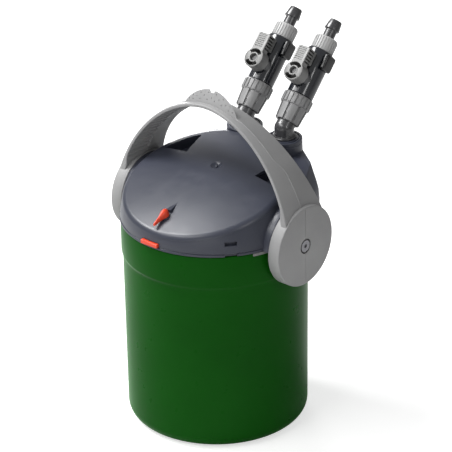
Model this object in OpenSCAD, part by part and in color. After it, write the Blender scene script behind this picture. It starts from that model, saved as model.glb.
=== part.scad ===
// External canister filter with a pump head, a carrying handle and two shut-off taps

/* [Canister] */
// height of the canister from the floor to the lower edge of the lid
can_h = 203; // [180:1:300]
// outer radius of the wall just under the collar
can_r = 86.5; // [78:0.5:96]
// how much narrower the wall is at the floor
can_draft = 1.3; // [0:0.1:3]
// wall thickness of the canister
can_wall = 2.6; // [2:0.1:3.5]
// radius of the rounded bottom edge
can_fillet = 12; // [6:1:20]
// height of the collar under the lid
collar_h = 32; // [24:1:40]
// how far the collar stands proud of the wall
collar_step = 1.7; // [1:0.1:3]

/* [Lid] */
// how far the lid stands out over the collar
lid_lip = 0.8; // [0.4:0.1:1.2]
// thickness of the lid's skirt and top
lid_wall = 3; // [2.4:0.1:4]
// height of the lip along the lid's lower edge
lip_h = 2.4; // [1.5:0.1:4]
// how much smaller the sloping disc is than the canister
disc_inset = 6.1; // [4:0.1:12]
// distance of the disc's centre in front of the canister's axis
disc_front = 12.4; // [10:0.2:14]
// slope of the disc down to the front
disc_slope = 16; // [13:0.5:20]
// height of the disc's centre above the lid's lower edge
disc_rise = 38.5; // [36:0.1:46]
// height of the dome above the disc's edge
dome_h = 7; // [4:0.5:10]
// radius of the bead round the disc
bead_r = 3.2; // [2.5:0.1:4.5]

/* [Handle] */
// distance of the handle's axis behind the canister's axis
hub_y = 8; // [4:0.5:12]
// radius of a handle hub
hub_r = 39; // [34:0.5:42]
// thickness of a handle hub
hub_t = 12.9; // [10:0.1:16]
// radius of the side boss on the lid behind each hub
boss_r = 35; // [30:0.5:38]
// rise of the arch above the handle's axis
arch_h = 119.5; // [112:0.5:140]
// thickness of the arch
arch_t = 6.5; // [5:0.1:8]
// width of the arch at its top
arch_w_top = 25; // [20:1:32]
// width of the arch where it meets the hubs
arch_w_hub = 54; // [44:1:60]
// forward lean of the upright handle
arch_lean = 3; // [0:0.5:6]
// how far the rear edge of the arch bends inwards
arch_bend = 6; // [2:0.5:8]
// height of the fin above the top of the grip
fin_h = 11.7; // [3:0.1:14]
// radius of the shoulder on each pivot screw
pivot_r = 4.5; // [3.5:0.1:6]

/* [Ports and taps] */
// distance of each port from the middle plane
port_x = 24; // [22:0.5:27]
// distance of the ports inside the canister's radius
port_inset = 13.5; // [12:0.5:16]
// radius of a port tower
tower_r = 17; // [15.5:0.5:18]
// height of the towers above the lid's lower edge
tower_h = 60; // [54:0.5:70]
// lean of the taps to the back
tap_lean = 43.5; // [35:0.5:50]
// radius of the valve body
tap_r = 11.25; // [11:0.05:12]
// length of the valve body above the union nut
tap_len = 47.5; // [44:0.5:60]
// length of the union nut
nut_len = 27; // [24:0.5:32]
// radius of the union nut at its collar
nut_r = 14.25; // [14:0.05:16]
// length of the hose nut
hose_nut_len = 13.5; // [10:0.5:18]
// radius of the round tap knob
knob_r = 11.5; // [10:0.5:12.5]
// length of the tap lever from the knob's axis
lever_len = 25.5; // [22:0.5:30]
// radius of the hose end at its ridge
barb_r = 7.2; // [6.5:0.1:7.5]
// inner radius of the water way
bore_r = 4.4; // [3.5:0.1:4.8]

/* [Fits] */
// radial clearance of a piece that turns on a pin
run_gap = 0.05; // [0.02:0.01:0.1]
// clearance between pieces that are joined
seat_gap = 0.1; // [0.05:0.05:0.2]
// clearance between pieces that pass each other
pass_gap = 0.4; // [0.3:0.05:0.8]

/* [Hidden] */
fine = 96;
mid = 48;
low = 24;
eps = 0.02;
thin = 0.4;

collar_r = can_r + collar_step;
lid_r = collar_r + lid_lip;
lip_step = 0.6;
disc_r = can_r - disc_inset;
port_y = can_r - port_inset;
seam = 0.6;
can_top = can_h - seam;
collar_z = can_h - collar_h;
collar_blend = 6;
floor_t = 3;
can_bore = can_r - can_wall + 0.1;
low_bore = can_r - can_draft - can_wall;

flange_r = can_bore + 1.2;
flange_h = 2.4;
flange_z = can_top + seat_gap;
flange_top = flange_z + flange_h;
plug_r = can_bore - 0.8;
plug_z = can_h - 22;
plug_wall = 6.5;
deck_t = 4;
seal_r = 2;
seal_z = plug_z + 6;
seal_ring_r = can_bore - seat_gap - seal_r;

hub_drop = 4;
hub_z = can_h - hub_drop;
hub_gap = 0.3;
boss_x = lid_r + 0.3;
hub_x0 = boss_x + hub_gap;
hub_x1 = hub_x0 + hub_t;
hub_edge = 0.6;
hub_chamfer = 1.2;
pivot_boss_r = 7;
pivot_boss_t = boss_x - can_bore - 0.8;
pivot_thread_r = pivot_r - 1.5;
pivot_head_r = pivot_r + 1.3;
pivot_head_t = 2.6;
pivot_sink = 3;
thread_gap = 0.05;

arch_a = hub_x1 + 3.5;
arch_n = 1.85;
arch_steps = 136;
arch_foot = 20;
crease_y = -4;
crease_t = 0.6;
rear_more = 1.2;
rear_flare = 2.6;
rear_t = 5;
under_y = 3;
rib_n = 34;
rib_h = 1.1;
rib_span = 62;
fin_half = 31.5;
fin_foot = 6.6;
fin_t = 1.8;

bead_drop = 1.6;
cap_drop = 4;
dome_r = disc_r - bead_r - 0.7;
dome_end = disc_r - bead_r - 2.4;
cap_in = disc_r - 5;
recess_h = 1 - cap_drop;
recess_r = disc_r - 9;
ledge = 3;
inner_r = flange_r - ledge;

tower_bore = 9.6;
tower_floor = can_h + 4;
bend_rise = 9.4;
bend_step = 0.2;
elbow_r = 9.2;
elbow_flange_r = 11;
elbow_ring_r = 11.4;
elbow_flange_t = 2.4;
elbow_depth = 20;
nut_s = 5.7;
lip_s = nut_s + 7.6;
flange_s = lip_s + pass_gap;
seat_s = flange_s + elbow_flange_t + 1;
body_s = nut_s + nut_len;
body_top = body_s + tap_len;
hose_nut_s = body_top + pass_gap;
barb_s = hose_nut_s + hose_nut_len;
barb_len = 18.5;
stem_r = 5.4;
tail_r = 7.4;
knob_s = nut_s + 43;
plug_r1 = 7.4;
neck_r = 9.8;
neck_foot = 11;
neck_h = 14.4;
knob_y0 = neck_h + pass_gap;
knob_t = 12.4;
knob_y1 = knob_y0 + knob_t;
stem_top = knob_y1 - 4;
lever_y0 = 18.6;
lever_w = 13.5;
catch_s0 = nut_s + 57;
catch_s1 = nut_s + 72.5;
catch_w = 10.5;
catch_in = 10.8;
catch_out = 17;
catch_cap = 13.2;
catch_pocket = 8.6;

duct_k = 0.86;
duct_x = port_x * duct_k;
duct_y = port_y * duct_k;
duct_r = 6.2;
duct_wall = 1.8;
duct_foot = 9;
duct_bend = can_h + 24;
duct_top = can_h + tower_h - elbow_depth - seat_gap;
duct_ball = 0.5;
duct_collar = 4;
duct_socket_h = 4;
pipe_r = 8;
pipe_wall = 1.5;
socket_r = pipe_r + pass_gap;
duct_socket_r = duct_r + duct_wall + 2;

can_in_r = 13.4;
can_wall_t = 1.6;
can_in_top = can_h + 38;
magnet_r = 12.4;
shaft_r = 1.6;
chamber_r = 30;
chamber_wall = 3;
chamber_z = can_h - 15;
cover_t = 3;
impeller_r = 22;
screw_r = 1.6;
screw_ring = inner_r - 4;
screw_angles = [40, 140, 205, 246, 294, 335];
screw_head_r = 3;
screw_head_t = 2.2;
screw_sink = 2.6;
screw_len = 10;
post_r = 4;
post_h = 8;
post_rib = 3;
post_bite = 1.4;
core_r = 30;
core_h = 30;
coil_x = 18;
coil_w = 10;
coil_len = 32;
bush_r = shaft_r + 2.9;
bush_h = 3.9;
bush_sink = 1;

basket_r = low_bore - 1.6;
basket_wall = 1.8;
grid_z = floor_t + 5;
basket_z0 = grid_z + 3.4;
basket_gap = 0.2;
basket_h = (chamber_z - cover_t - 8 - basket_z0) / 2 - basket_gap;
basket_z1 = basket_z0 + basket_h + basket_gap;
sleeve_r = pipe_r + 0.6;
sleeve_wall = 1.6;
basket_floor = 2;
slot_margin = 8;
screen_t = 2;
screen_gap = 0.2;
pad_gap = 0.5;
pad_h = basket_h - basket_floor - screen_t - screen_gap * 2;
bio_share = 0.6;

vent_y = -0.728 * disc_r;
vent_h = 3.6;
vent_pin_r = 2;
vent_pin_h = 5;
vent_boss_r = 5;
vent_hub_r = 4.6;
vent_hub_h = 6.4;
vent_w = 3.8;
ridge_len = 11.5;
ridge_h = 4;
ridge_end_h = 2;
ridge_tip = 0.5;
dimple_y = 0.224 * disc_r;
dimple_r = 5.5;
dimple_h = 1.6;
dimple_floor = dimple_r / 4;
vent_len = 16.5;
catch_tab_w = 19.5;
catch_tab_h = 3.8;
catch_tab_x = -2.5;
catch_tab_z = can_h + lip_h;
catch_tab_out = 2;
catch_tab_in = 4.2;
lug_angle = 22;
lug_span = 9;
lug_h = 2.6;
lug_t = 1.2;

gland_r = 5.4;
gland_bore = 3.1;
gland_z = can_h + 9;
gland_y = lid_r - 10;
gland_len = 14;
gland_flange_r = gland_r + 1;
gland_flange_t = 2.5;
gland_seat = 9.4;

function arc(cx, cy, r, a0, a1, n) =
  [for (i = [0:n]) let (a = a0 + (a1 - a0) * i / n) [cx + r * cos(a), cy + r * sin(a)]];
function dome(r, top, drop) = top - (top - drop) * pow(r / dome_r, 2);
function arch_pt(a, b, t) = [
  a * (cos(t) < 0 ? -1 : 1) * pow(abs(cos(t)), 2 / arch_n),
  b * pow(abs(sin(t)), 2 / arch_n)];

module along_x(r, h, fn = fine) {
  rotate([0, 90, 0]) cylinder(r = r, h = h, $fn = fn);
}

module along_y(r, h, fn = fine) {
  rotate([-90, 0, 0]) cylinder(r = r, h = h, $fn = fn);
}

module tube(r, rin, h, fn = fine) {
  difference() {
    cylinder(r = r, h = h, $fn = fn);
    translate([0, 0, -1]) cylinder(r = rin, h = h + 2, $fn = fn);
  }
}

module ring(rc, r, fn = fine) {
  rotate_extrude($fn = fn) translate([rc, 0]) circle(r = r, $fn = low);
}

module sides() {
  for (s = [-1, 1]) side_of(s) children();
}

module side_of(s) {
  if (s < 0) mirror([1, 0, 0]) children();
  else children();
}

module disc_frame() {
  translate([0, -disc_front, can_h + disc_rise]) rotate([disc_slope, 0, 0]) children();
}

module tap_frame(s) {
  translate([s * port_x, port_y, can_h + tower_h + bend_rise]) rotate([-tap_lean, 0, 0]) children();
}

module handle_frame() {
  translate([0, hub_y, hub_z]) rotate([arch_lean, 0, 0]) children();
}

// canister and what stands in it

module canister() {
  r0 = can_r - can_draft;
  in_fillet = can_fillet - can_wall;
  color("darkgreen") difference() {
    rotate_extrude($fn = fine) polygon(concat(
      [[0, 0]],
      arc(r0 - can_fillet, can_fillet, can_fillet, -90, 0, 8),
      [[can_r, collar_z - collar_blend]],
      [[can_r + collar_step * 0.3, collar_z - collar_blend * 0.45]],
      [[collar_r - 0.3, collar_z]],
      [[collar_r, can_top - 0.6], [collar_r - 0.6, can_top]],
      [[can_bore, can_top], [can_bore, collar_z]],
      arc(low_bore - in_fillet, floor_t + in_fillet, in_fillet, 0, -90, 8),
      [[0, floor_t]]));
    sides() pivot_notch();
  }
}

module pivot_notch() {
  notch_r = pivot_boss_r + pass_gap;
  translate([can_bore - 2, hub_y, hub_z]) {
    along_x(notch_r, collar_step + can_wall + 6);
    translate([0, -notch_r, 0]) cube([collar_step + can_wall + 6, notch_r * 2, hub_drop + 1]);
  }
}

module bottom_grid() {
  color("dimgray") difference() {
    union() {
      translate([0, 0, grid_z]) cylinder(r = basket_r - 2, h = 3, $fn = fine);
      for (a = [45:90:315]) rotate(a)
        translate([basket_r - 22, 0, floor_t]) cylinder(r = 4, h = grid_z - floor_t + 1, $fn = low);
    }
    for (x = [-60:10:60]) grid_slot(x);
    translate([duct_x, duct_y, grid_z - 1]) cylinder(r = sleeve_r + 1.2, h = 5, $fn = mid);
  }
}

module grid_slot(x) {
  half = sqrt(pow(basket_r - slot_margin, 2) - x * x);
  if (abs(x - duct_x) > sleeve_r + 6)
    translate([x - 2, -half, grid_z - 1]) cube([4, half * 2, 5]);
}

module basket(z) {
  translate([0, 0, z]) difference() {
    union() {
      tube(basket_r, basket_r - basket_wall, basket_h);
      cylinder(r = basket_r - 0.5, h = basket_floor, $fn = fine);
      translate([duct_x, duct_y, 0]) cylinder(r = sleeve_r + sleeve_wall, h = basket_h, $fn = mid);
    }
    translate([duct_x, duct_y, -1]) cylinder(r = sleeve_r, h = basket_h + 2, $fn = mid);
    for (x = [-60:12:60]) basket_slot(x);
    for (a = [15:30:345]) rotate(a)
      translate([basket_r - 4, -5, basket_h * 0.45]) cube([8, 10, basket_h * 0.4]);
  }
}

module basket_slot(x) {
  half = sqrt(pow(basket_r - slot_margin, 2) - x * x);
  if (abs(x - duct_x) > sleeve_r + 7)
    translate([x - 3, -half, -1]) cube([6, half * 2, 4]);
}

module lower_basket() {
  color("gray") basket(basket_z0);
}

module upper_basket() {
  color("gray") basket(basket_z1);
}

module bed(z, h) {
  translate([0, 0, z]) difference() {
    cylinder(r = basket_r - basket_wall - pad_gap, h = h, $fn = fine);
    translate([duct_x, duct_y, -1]) cylinder(r = sleeve_r + sleeve_wall + pad_gap, h = h + 2, $fn = mid);
  }
}

module coarse_pad() {
  color("steelblue") bed(basket_z0 + basket_floor + seat_gap, pad_h);
}

module bio_media() {
  color("tan") bed(basket_z1 + basket_floor + seat_gap, pad_h * bio_share);
}

module fine_pad() {
  color("white") bed(basket_z1 + basket_floor + seat_gap * 2 + pad_h * bio_share, pad_h * (1 - bio_share));
}

module basket_screen() {
  z = basket_z1 + basket_h - screen_t - screen_gap;
  color("dimgray") translate([0, 0, z]) difference() {
    cylinder(r = basket_r - basket_wall - screen_gap, h = screen_t, $fn = fine);
    for (x = [-63:9:63]) screen_slot(x);
    translate([duct_x, duct_y, -1]) cylinder(r = sleeve_r + sleeve_wall + screen_gap, h = 4, $fn = mid);
  }
}

module screen_slot(x) {
  half = sqrt(pow(basket_r - slot_margin, 2) - x * x);
  if (abs(x - duct_x) > sleeve_r + 6) {
    translate([x - 3, 2, -1]) cube([6, half - 2, 4]);
    translate([x - 3, -half, -1]) cube([6, half - 2, 4]);
  }
}

module intake_pipe() {
  color("gray") translate([duct_x, duct_y, grid_z - 1])
    tube(pipe_r, pipe_r - pipe_wall, can_h - 6 - grid_z, mid);
}

module lock_lugs() {
  color("silver") for (a = [-lug_angle, 180 + lug_angle]) rotate(a - lug_span / 2)
    translate([0, 0, can_h - seat_gap - lug_h]) rotate_extrude(angle = lug_span, $fn = fine)
      translate([collar_r + eps, 0]) square([lug_t, lug_h]);
}

// pump head

module lid_loft(r0, z0, r1, h1) {
  hull() {
    translate([0, 0, z0]) cylinder(r = r0, h = lip_h, $fn = fine);
    disc_frame() translate([0, 0, h1 - thin]) cylinder(r = r1, h = thin, $fn = fine);
  }
}

module disc_cap() {
  rotate_extrude($fn = fine) polygon(concat(
    [for (i = [0:10]) let (r = dome_end * i / 10) [r, dome(r, dome_h, 0)]],
    arc(disc_r - bead_r, -bead_drop, bead_r, 130, -40, 12),
    [[cap_in, -cap_drop]],
    [for (i = [10:-1:0]) let (r = (cap_in - 2) * i / 10) [r, dome(r, dome_h - lid_wall, -lid_wall)]]));
}

module tower_solid() {
  translate([port_x, port_y, tower_floor])
    cylinder(r1 = tower_r + 1, r2 = tower_r, h = can_h + tower_h - tower_floor, $fn = fine);
}

module shoulder() {
  hull() {
    translate([port_x, port_y, tower_floor]) cylinder(r = tower_r - 0.6, h = tower_h - 12, $fn = 40);
    translate([boss_x - 9, hub_y, hub_z]) along_x(boss_r - 0.4, 8, 64);
  }
}

module side_boss() {
  translate([boss_x - 40, hub_y, hub_z]) along_x(boss_r, 40);
}

module recess_plan(grow) {
  r = disc_r;
  polygon([[r * 0.516 - grow * 2, r * 0.292], [r * 1.0, r * 0.265 - grow],
    [r * 0.67, r * 0.76 + grow], [r * 0.585 - grow * 2, r * 0.634 + grow]]);
}

module recess_block() {
  h0 = recess_h - 1.6;
  r0 = dome_r - 1;
  intersection() {
    translate([0, 0, h0 - 1]) linear_extrude(height = dome_h + 10) recess_plan(1.4);
    rotate_extrude($fn = fine) polygon(concat([[0, h0], [r0, h0]],
      [for (i = [10:-1:0]) let (r = r0 * i / 10) [r, dome(r, dome_h, 0) - lid_wall / 2]]));
  }
}

module recess_cut() {
  difference() {
    intersection() {
      translate([0, 0, recess_h]) linear_extrude(height = dome_h + 10) recess_plan(0);
      translate([0, 0, recess_h]) cylinder(r = recess_r, h = dome_h + 10, $fn = fine);
    }
    for (k = [0.66, 0.735, 0.81]) translate([disc_r * k, disc_r * 0.25, recess_h - 1])
      cube([1.6, disc_r * 0.5, 3.4]);
  }
}

module lid_cover() {
  color("dimgray") difference() {
    disc_frame() difference() {
      union() {
        disc_cap();
        sides() recess_block();
        translate([0, vent_y, 0]) cylinder(r = vent_boss_r, h = vent_h, $fn = mid);
        vent_ridge();
      }
      sides() recess_cut();
      translate([0, vent_y, -1]) cylinder(r = vent_pin_r + thread_gap, h = 10, $fn = mid);
      translate([0, dimple_y, dome(dimple_y, dome_h, 0) - dimple_h])
        cylinder(r1 = dimple_floor, r2 = dimple_r, h = dimple_h + 0.2, $fn = mid);
    }
    sides() translate([port_x, port_y, can_h])
      cylinder(r = tower_r + 1 + seat_gap, h = tower_h * 2, $fn = fine);
  }
}

module vent_ridge() {
  y = vent_hub_r + 2 * pass_gap;
  h = dome(vent_y, dome_h, 0);
  translate([0, vent_y + y, 0]) intersection() {
    linear_extrude(height = 2 * dome_h)
      polygon([[-vent_w, 0], [vent_w, 0], [ridge_tip, ridge_len], [-ridge_tip, ridge_len]]);
    rotate([90, 0, 90]) translate([0, 0, -vent_w - 1]) linear_extrude(height = 2 * vent_w + 2)
      polygon([[0, 0], [0, h + ridge_h], [ridge_len, h + ridge_end_h], [ridge_len, 0]]);
  }
}

module lid_shell() {
  color("dimgray") difference() {
    union() {
      difference() {
        union() {
          lid_loft(lid_r - lip_step, can_h, disc_r - 0.8, -cap_drop - seat_gap);
          translate([0, 0, can_h]) cylinder(r = lid_r, h = lip_h, $fn = fine);
          sides() {
            side_boss();
            shoulder();
          }
        }
        lid_loft(inner_r, can_h - 2, cap_in, 1 - cap_drop);
        translate([-150, -150, can_h - 100]) cube([300, 300, 100]);
      }
      sides() {
        tower_solid();
        pivot_boss();
      }
      for (a = screw_angles) rotate(a) translate([screw_ring, 0, flange_top + seat_gap]) {
        cylinder(r = post_r, h = post_h, $fn = mid);
        translate([0, -post_rib / 2, 0]) cube([inner_r + post_bite - screw_ring, post_rib, post_h]);
      }
      translate([0, gland_y, gland_z]) along_y(gland_flange_r + 1, gland_seat, mid);
    }
    translate([0, 0, can_h - 1])
      cylinder(r = flange_r + seat_gap, h = flange_top + seat_gap - can_h + 1, $fn = fine);
    sides() {
      translate([port_x, port_y, can_h]) cylinder(r = tower_bore, h = tower_h + 10, $fn = fine);
      translate([port_x, port_y, can_h + tower_h - 1.2]) tube(tower_r - 2.4, tower_r - 3.6, 3);
      translate([boss_x - pivot_boss_t, hub_y, hub_z]) along_x(pivot_thread_r + thread_gap, 20, mid);
      snap_slot();
      duct_space();
    }
    for (a = screw_angles) rotate(a) translate([screw_ring, 0, can_h])
      cylinder(r = screw_r + thread_gap, h = flange_top - can_h + screw_len - screw_sink, $fn = low);
    catch_slot();
    translate([0, gland_y - 4, gland_z]) along_y(gland_r + seat_gap, 30, mid);
  }
}

module pivot_boss() {
  translate([boss_x - pivot_boss_t, hub_y, hub_z]) along_x(pivot_boss_r, pivot_boss_t);
}

module catch_slot() {
  w = catch_tab_w + 2 * pass_gap;
  h = catch_tab_h + 2 * pass_gap;
  translate([catch_tab_x - w / 2, -lid_r - 5, catch_tab_z - pass_gap])
    cube([w, 5 + lid_r - inner_r + 0.5, h]);
}

module duct_space() {
  duct_run(1, duct_r + duct_wall + pass_gap, duct_ball, can_h - 1, duct_top);
  translate([duct_x, duct_y, can_h - 1])
    cylinder(r = duct_socket_r + pass_gap, h = flange_top + duct_socket_h + pass_gap - can_h + 1, $fn = mid);
}

module snap_slot() {
  w = 11.5;
  rotate(-40) {
    translate([lid_r - 5, -w / 2, can_h + 10.3]) cube([12, w, 4]);
    translate([lid_r - 2.6, -w / 2, can_h - 1]) cube([12, w, 1 + lip_h]);
  }
}

module pump_deck() {
  color("gray") difference() {
    union() {
      translate([0, 0, flange_z]) cylinder(r = flange_r, h = flange_h, $fn = fine);
      translate([0, 0, plug_z]) tube(plug_r, plug_r - plug_wall, flange_z - plug_z + eps);
      translate([0, 0, flange_z - deck_t]) cylinder(r = plug_r - 1, h = deck_t + 1, $fn = fine);
      translate([0, 0, flange_z])
        cylinder(r = can_in_r + can_wall_t, h = can_in_top + can_wall_t - flange_z, $fn = fine);
      translate([0, 0, chamber_z])
        cylinder(r = chamber_r + chamber_wall, h = flange_z - chamber_z, $fn = fine);
      translate([duct_x, duct_y, chamber_z]) cylinder(r = socket_r + 2, h = flange_z - chamber_z, $fn = mid);
      pressure_channel(duct_r + 0.2);
      translate([-duct_x, duct_y, chamber_z]) cylinder(r = duct_r + 2, h = flange_z - chamber_z, $fn = mid);
      for (s = [-1, 1]) translate([s * duct_x, duct_y, flange_z])
        cylinder(r = duct_socket_r, h = flange_h + duct_socket_h, $fn = mid);
    }
    translate([0, 0, chamber_z - 1])
      cylinder(r = chamber_r, h = flange_z - deck_t - chamber_z + 1, $fn = fine);
    translate([0, 0, chamber_z]) cylinder(r = can_in_r, h = can_in_top - chamber_z, $fn = fine);
    translate([0, 0, chamber_z + bush_sink])
      cylinder(r = bush_r + seat_gap, h = can_in_top - chamber_z, $fn = mid);
    translate([duct_x, duct_y, chamber_z - 1]) cylinder(r = socket_r, h = 12, $fn = mid);
    for (s = [-1, 1]) {
      translate([s * duct_x, duct_y, chamber_z + 6]) cylinder(r = duct_r, h = 30, $fn = mid);
      translate([s * duct_x, duct_y, flange_top])
        cylinder(r = duct_r + duct_wall + seat_gap, h = 30, $fn = mid);
    }
    pressure_channel(duct_r - 1.4);
    translate([0, 0, seal_z]) rotate_extrude($fn = fine)
      translate([seal_ring_r - seal_r - seat_gap, -seal_r - seat_gap]) square([10, 2 * (seal_r + seat_gap)]);
    for (a = screw_angles) rotate(a) translate([screw_ring, 0, plug_z - 1]) {
      cylinder(r = screw_r + pass_gap, h = 40, $fn = low);
      cylinder(r = screw_head_r + pass_gap, h = flange_z - screw_sink - plug_z + 1, $fn = low);
    }
    sides() translate([plug_r + 0.5, hub_y - pivot_boss_r - pass_gap, flange_z - 1])
      cube([10, 2 * pivot_boss_r + 2 * pass_gap, 10]);
  }
}

module pressure_channel(r) {
  a = atan2(duct_y, -duct_x);
  len = sqrt(duct_x * duct_x + duct_y * duct_y);
  rotate(a) translate([chamber_r - 1, 0, chamber_z + 6.5]) along_x(r, len - chamber_r + 1, mid);
}

module lid_seal() {
  color("black") translate([0, 0, seal_z]) ring(seal_ring_r, seal_r);
}

module deck_screws() {
  color("silver") for (a = screw_angles) rotate(a) translate([screw_ring, 0, 0]) {
    translate([0, 0, flange_z - screw_sink - screw_head_t])
      cylinder(r = screw_head_r, h = screw_head_t, $fn = low);
    translate([0, 0, flange_z - screw_sink - seat_gap]) cylinder(r = screw_r, h = screw_len, $fn = low);
  }
}

module stator_core() {
  color("slategray") translate([0, 0, flange_top + seat_gap]) difference() {
    cylinder(r = core_r, h = core_h, $fn = fine);
    translate([0, 0, -1]) cylinder(r = can_in_r + can_wall_t + seat_gap, h = core_h + 2, $fn = fine);
    sides() translate([coil_x, -coil_len / 2, -1]) cube([core_r, coil_len, core_h + 2]);
  }
}

module stator_coils() {
  color("peru") sides() translate([coil_x + seat_gap, seat_gap - coil_len / 2, flange_top + seat_gap])
    cube([coil_w, coil_len - 2 * seat_gap, core_h]);
}

module rotor_shaft() {
  color("white") translate([0, 0, chamber_z + 0.5])
    cylinder(r = shaft_r, h = can_in_top - 0.6 - chamber_z - 0.5, $fn = mid);
}

module shaft_bushes() {
  bore = shaft_r + seat_gap / 2;
  color("black") {
    translate([0, 0, can_in_top + bush_sink - bush_h - eps]) tube(bush_r, bore, bush_h, mid);
    translate([0, 0, chamber_z - seat_gap + eps]) tube(bush_r, bore, bush_h - 1, mid);
  }
}

module pump_cover() {
  color("gray") difference() {
    translate([0, 0, chamber_z - cover_t - seat_gap])
      cylinder(r = chamber_r + chamber_wall, h = cover_t, $fn = fine);
    for (a = [0:45:315]) rotate(a) translate([9.5, 0, chamber_z - cover_t - 1])
      cylinder(r = 2.8, h = cover_t + 2, $fn = low);
  }
}

module rotor_magnet() {
  color("black") translate([0, 0, chamber_z + 12])
    tube(magnet_r, shaft_r + run_gap, can_in_top - 5.5 - chamber_z - 12);
}

module impeller() {
  z0 = chamber_z + 3.4;
  color("white") difference() {
    union() {
      translate([0, 0, z0 + 5.4]) cylinder(r = 10, h = 12 - 3.4 - 5.4 - eps, $fn = mid);
      translate([0, 0, z0]) cylinder(r = 5, h = 6, $fn = mid);
      for (a = [0:60:300]) rotate(a) translate([2, -0.9, z0]) cube([impeller_r - 2, 1.8, 6]);
    }
    translate([0, 0, z0 - 1]) cylinder(r = shaft_r + run_gap, h = 20, $fn = mid);
  }
}

module duct_run(s, r, ball, z0, z1) {
  foot = [s * duct_x, duct_y, flange_top + seat_gap + duct_foot];
  bend = [s * port_x, port_y, duct_bend];
  way = bend - foot;
  translate([foot[0], foot[1], z0]) cylinder(r = r, h = foot[2] - z0, $fn = mid);
  translate(foot) {
    sphere(r = r + ball, $fn = mid);
    rotate([0, acos(way[2] / norm(way)), atan2(way[1], way[0])])
      cylinder(r = r - ball / 4, h = norm(way), $fn = mid);
  }
  translate(bend) sphere(r = r + ball, $fn = mid);
  translate(bend) cylinder(r = r, h = z1 - bend[2], $fn = mid);
}

module duct(s) {
  z0 = flange_top + seat_gap;
  color("gray") difference() {
    union() {
      duct_run(s, duct_r + duct_wall, duct_ball, z0, duct_top);
      translate([s * port_x, port_y, duct_top - duct_collar])
        cylinder(r = tower_bore - seat_gap, h = duct_collar, $fn = mid);
    }
    duct_run(s, duct_r, duct_ball, z0 - 1, duct_top + 1);
  }
}

module suction_duct() {
  duct(1);
}

module pressure_duct() {
  duct(-1);
}

module cable_gland() {
  color("black") translate([0, gland_y, gland_z]) difference() {
    union() {
      along_y(gland_r, gland_len, mid);
      translate([0, gland_seat + seat_gap, 0]) along_y(gland_flange_r, gland_flange_t, mid);
    }
    translate([0, -1, 0]) along_y(gland_bore, gland_len + 2, mid);
  }
}

module pivot_screws() {
  color("dimgray") sides() translate([0, hub_y, hub_z]) difference() {
    union() {
      translate([boss_x - pivot_boss_t + 0.3, 0, 0]) along_x(pivot_thread_r, pivot_boss_t, mid);
      translate([boss_x + eps, 0, 0]) along_x(pivot_r, hub_x1 - pivot_sink - boss_x + 0.2, mid);
      translate([hub_x1 - pivot_sink + 0.2, 0, 0]) along_x(pivot_head_r, pivot_head_t, mid);
    }
    translate([hub_x1 - 1.8, 0, 0]) along_x(2, 4, 6);
  }
}

module vent_pin() {
  color("silver") disc_frame() translate([0, vent_y, 0.5])
    cylinder(r = vent_pin_r, h = vent_h + vent_pin_h, $fn = mid);
}

module vent_lever() {
  h0 = vent_h + pass_gap;
  color("orangered") disc_frame() translate([0, vent_y, h0]) difference() {
    union() {
      cylinder(r = vent_hub_r, h = vent_hub_h, $fn = mid);
      rotate([90, 0, 90]) translate([0, 0, -vent_w / 2]) linear_extrude(height = vent_w)
        polygon([[0, 0], [0, 5.6], [-6, 5], [-vent_len, 2.2], [-vent_len, 0.2], [-6, 0]]);
    }
    translate([0, 0, -1]) cylinder(r = vent_pin_r + run_gap, h = vent_pin_h + 1.6, $fn = mid);
  }
}

module front_catch() {
  y0 = -lid_r - catch_tab_out;
  color("orangered") translate([catch_tab_x - catch_tab_w / 2, y0, catch_tab_z])
    cube([catch_tab_w, catch_tab_out + catch_tab_in, catch_tab_h]);
}

// handle

function arch_low(h) = 1 - max(0, min(1, (h - arch_foot) / (arch_h + 2 - arch_foot)));
function arch_w(h) = arch_w_top / 2 + (arch_w_hub - arch_w_top) / 2 * pow(arch_low(h), 1.15);
function arch_in(d, t) = arch_pt(arch_a - d, arch_h - d, t);
function arch_rib(t) = abs(t - 90) < rib_span ? rib_h * max(0, sin(t * rib_n * 2)) : 0;
function fin_share(x) = max(0, 1 - pow(x / fin_half, 2));
function arch_section(t) =
  let (top = arch_in(0, t), w = arch_w(top[1]), rear = w + rear_more + rear_flare * arch_low(top[1]),
    bend = arch_bend * (0.3 + 0.7 * sin(t)), share = fin_share(top[0]),
    crest = crease_y * (1 - share), back = crest + crease_t + fin_t * share,
    back_d = bend * (back - crease_y) / (rear - crease_y))
  [[arch_in(0, t), -w], [arch_in(0, t), crease_y - crease_t - fin_foot * pow(share, 0.6)],
    [arch_in(-fin_h * pow(share, 0.9), t), crest], [arch_in(back_d, t), back],
    [arch_in(bend, t), rear], [arch_in(bend + rear_t, t), rear],
    [arch_in(arch_t + arch_rib(t), t), under_y], [arch_in(arch_t, t), -w]];

module arch() {
  n = 8;
  limit = hub_x1 - hub_edge;
  points = [for (i = [0:arch_steps], q = arch_section(180 * i / arch_steps))
    [max(-limit, min(limit, q[0][0])), q[1], q[0][1]]];
  skin = [for (i = [0:arch_steps - 1], j = [0:n - 1])
    let (k = (j + 1) % n, a = i * n + j, b = i * n + k, c = a + n, d = b + n) each [[a, d, b], [a, c, d]]];
  foot = [[0, 1, 7], [1, 6, 7], [1, 2, 6], [2, 3, 6], [3, 5, 6], [3, 4, 5]];
  far_foot = [for (f = foot) [for (j = [2:-1:0]) arch_steps * n + f[j]]];
  polyhedron(points = points, faces = concat(skin, foot, far_foot), convexity = 6);
}

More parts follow.
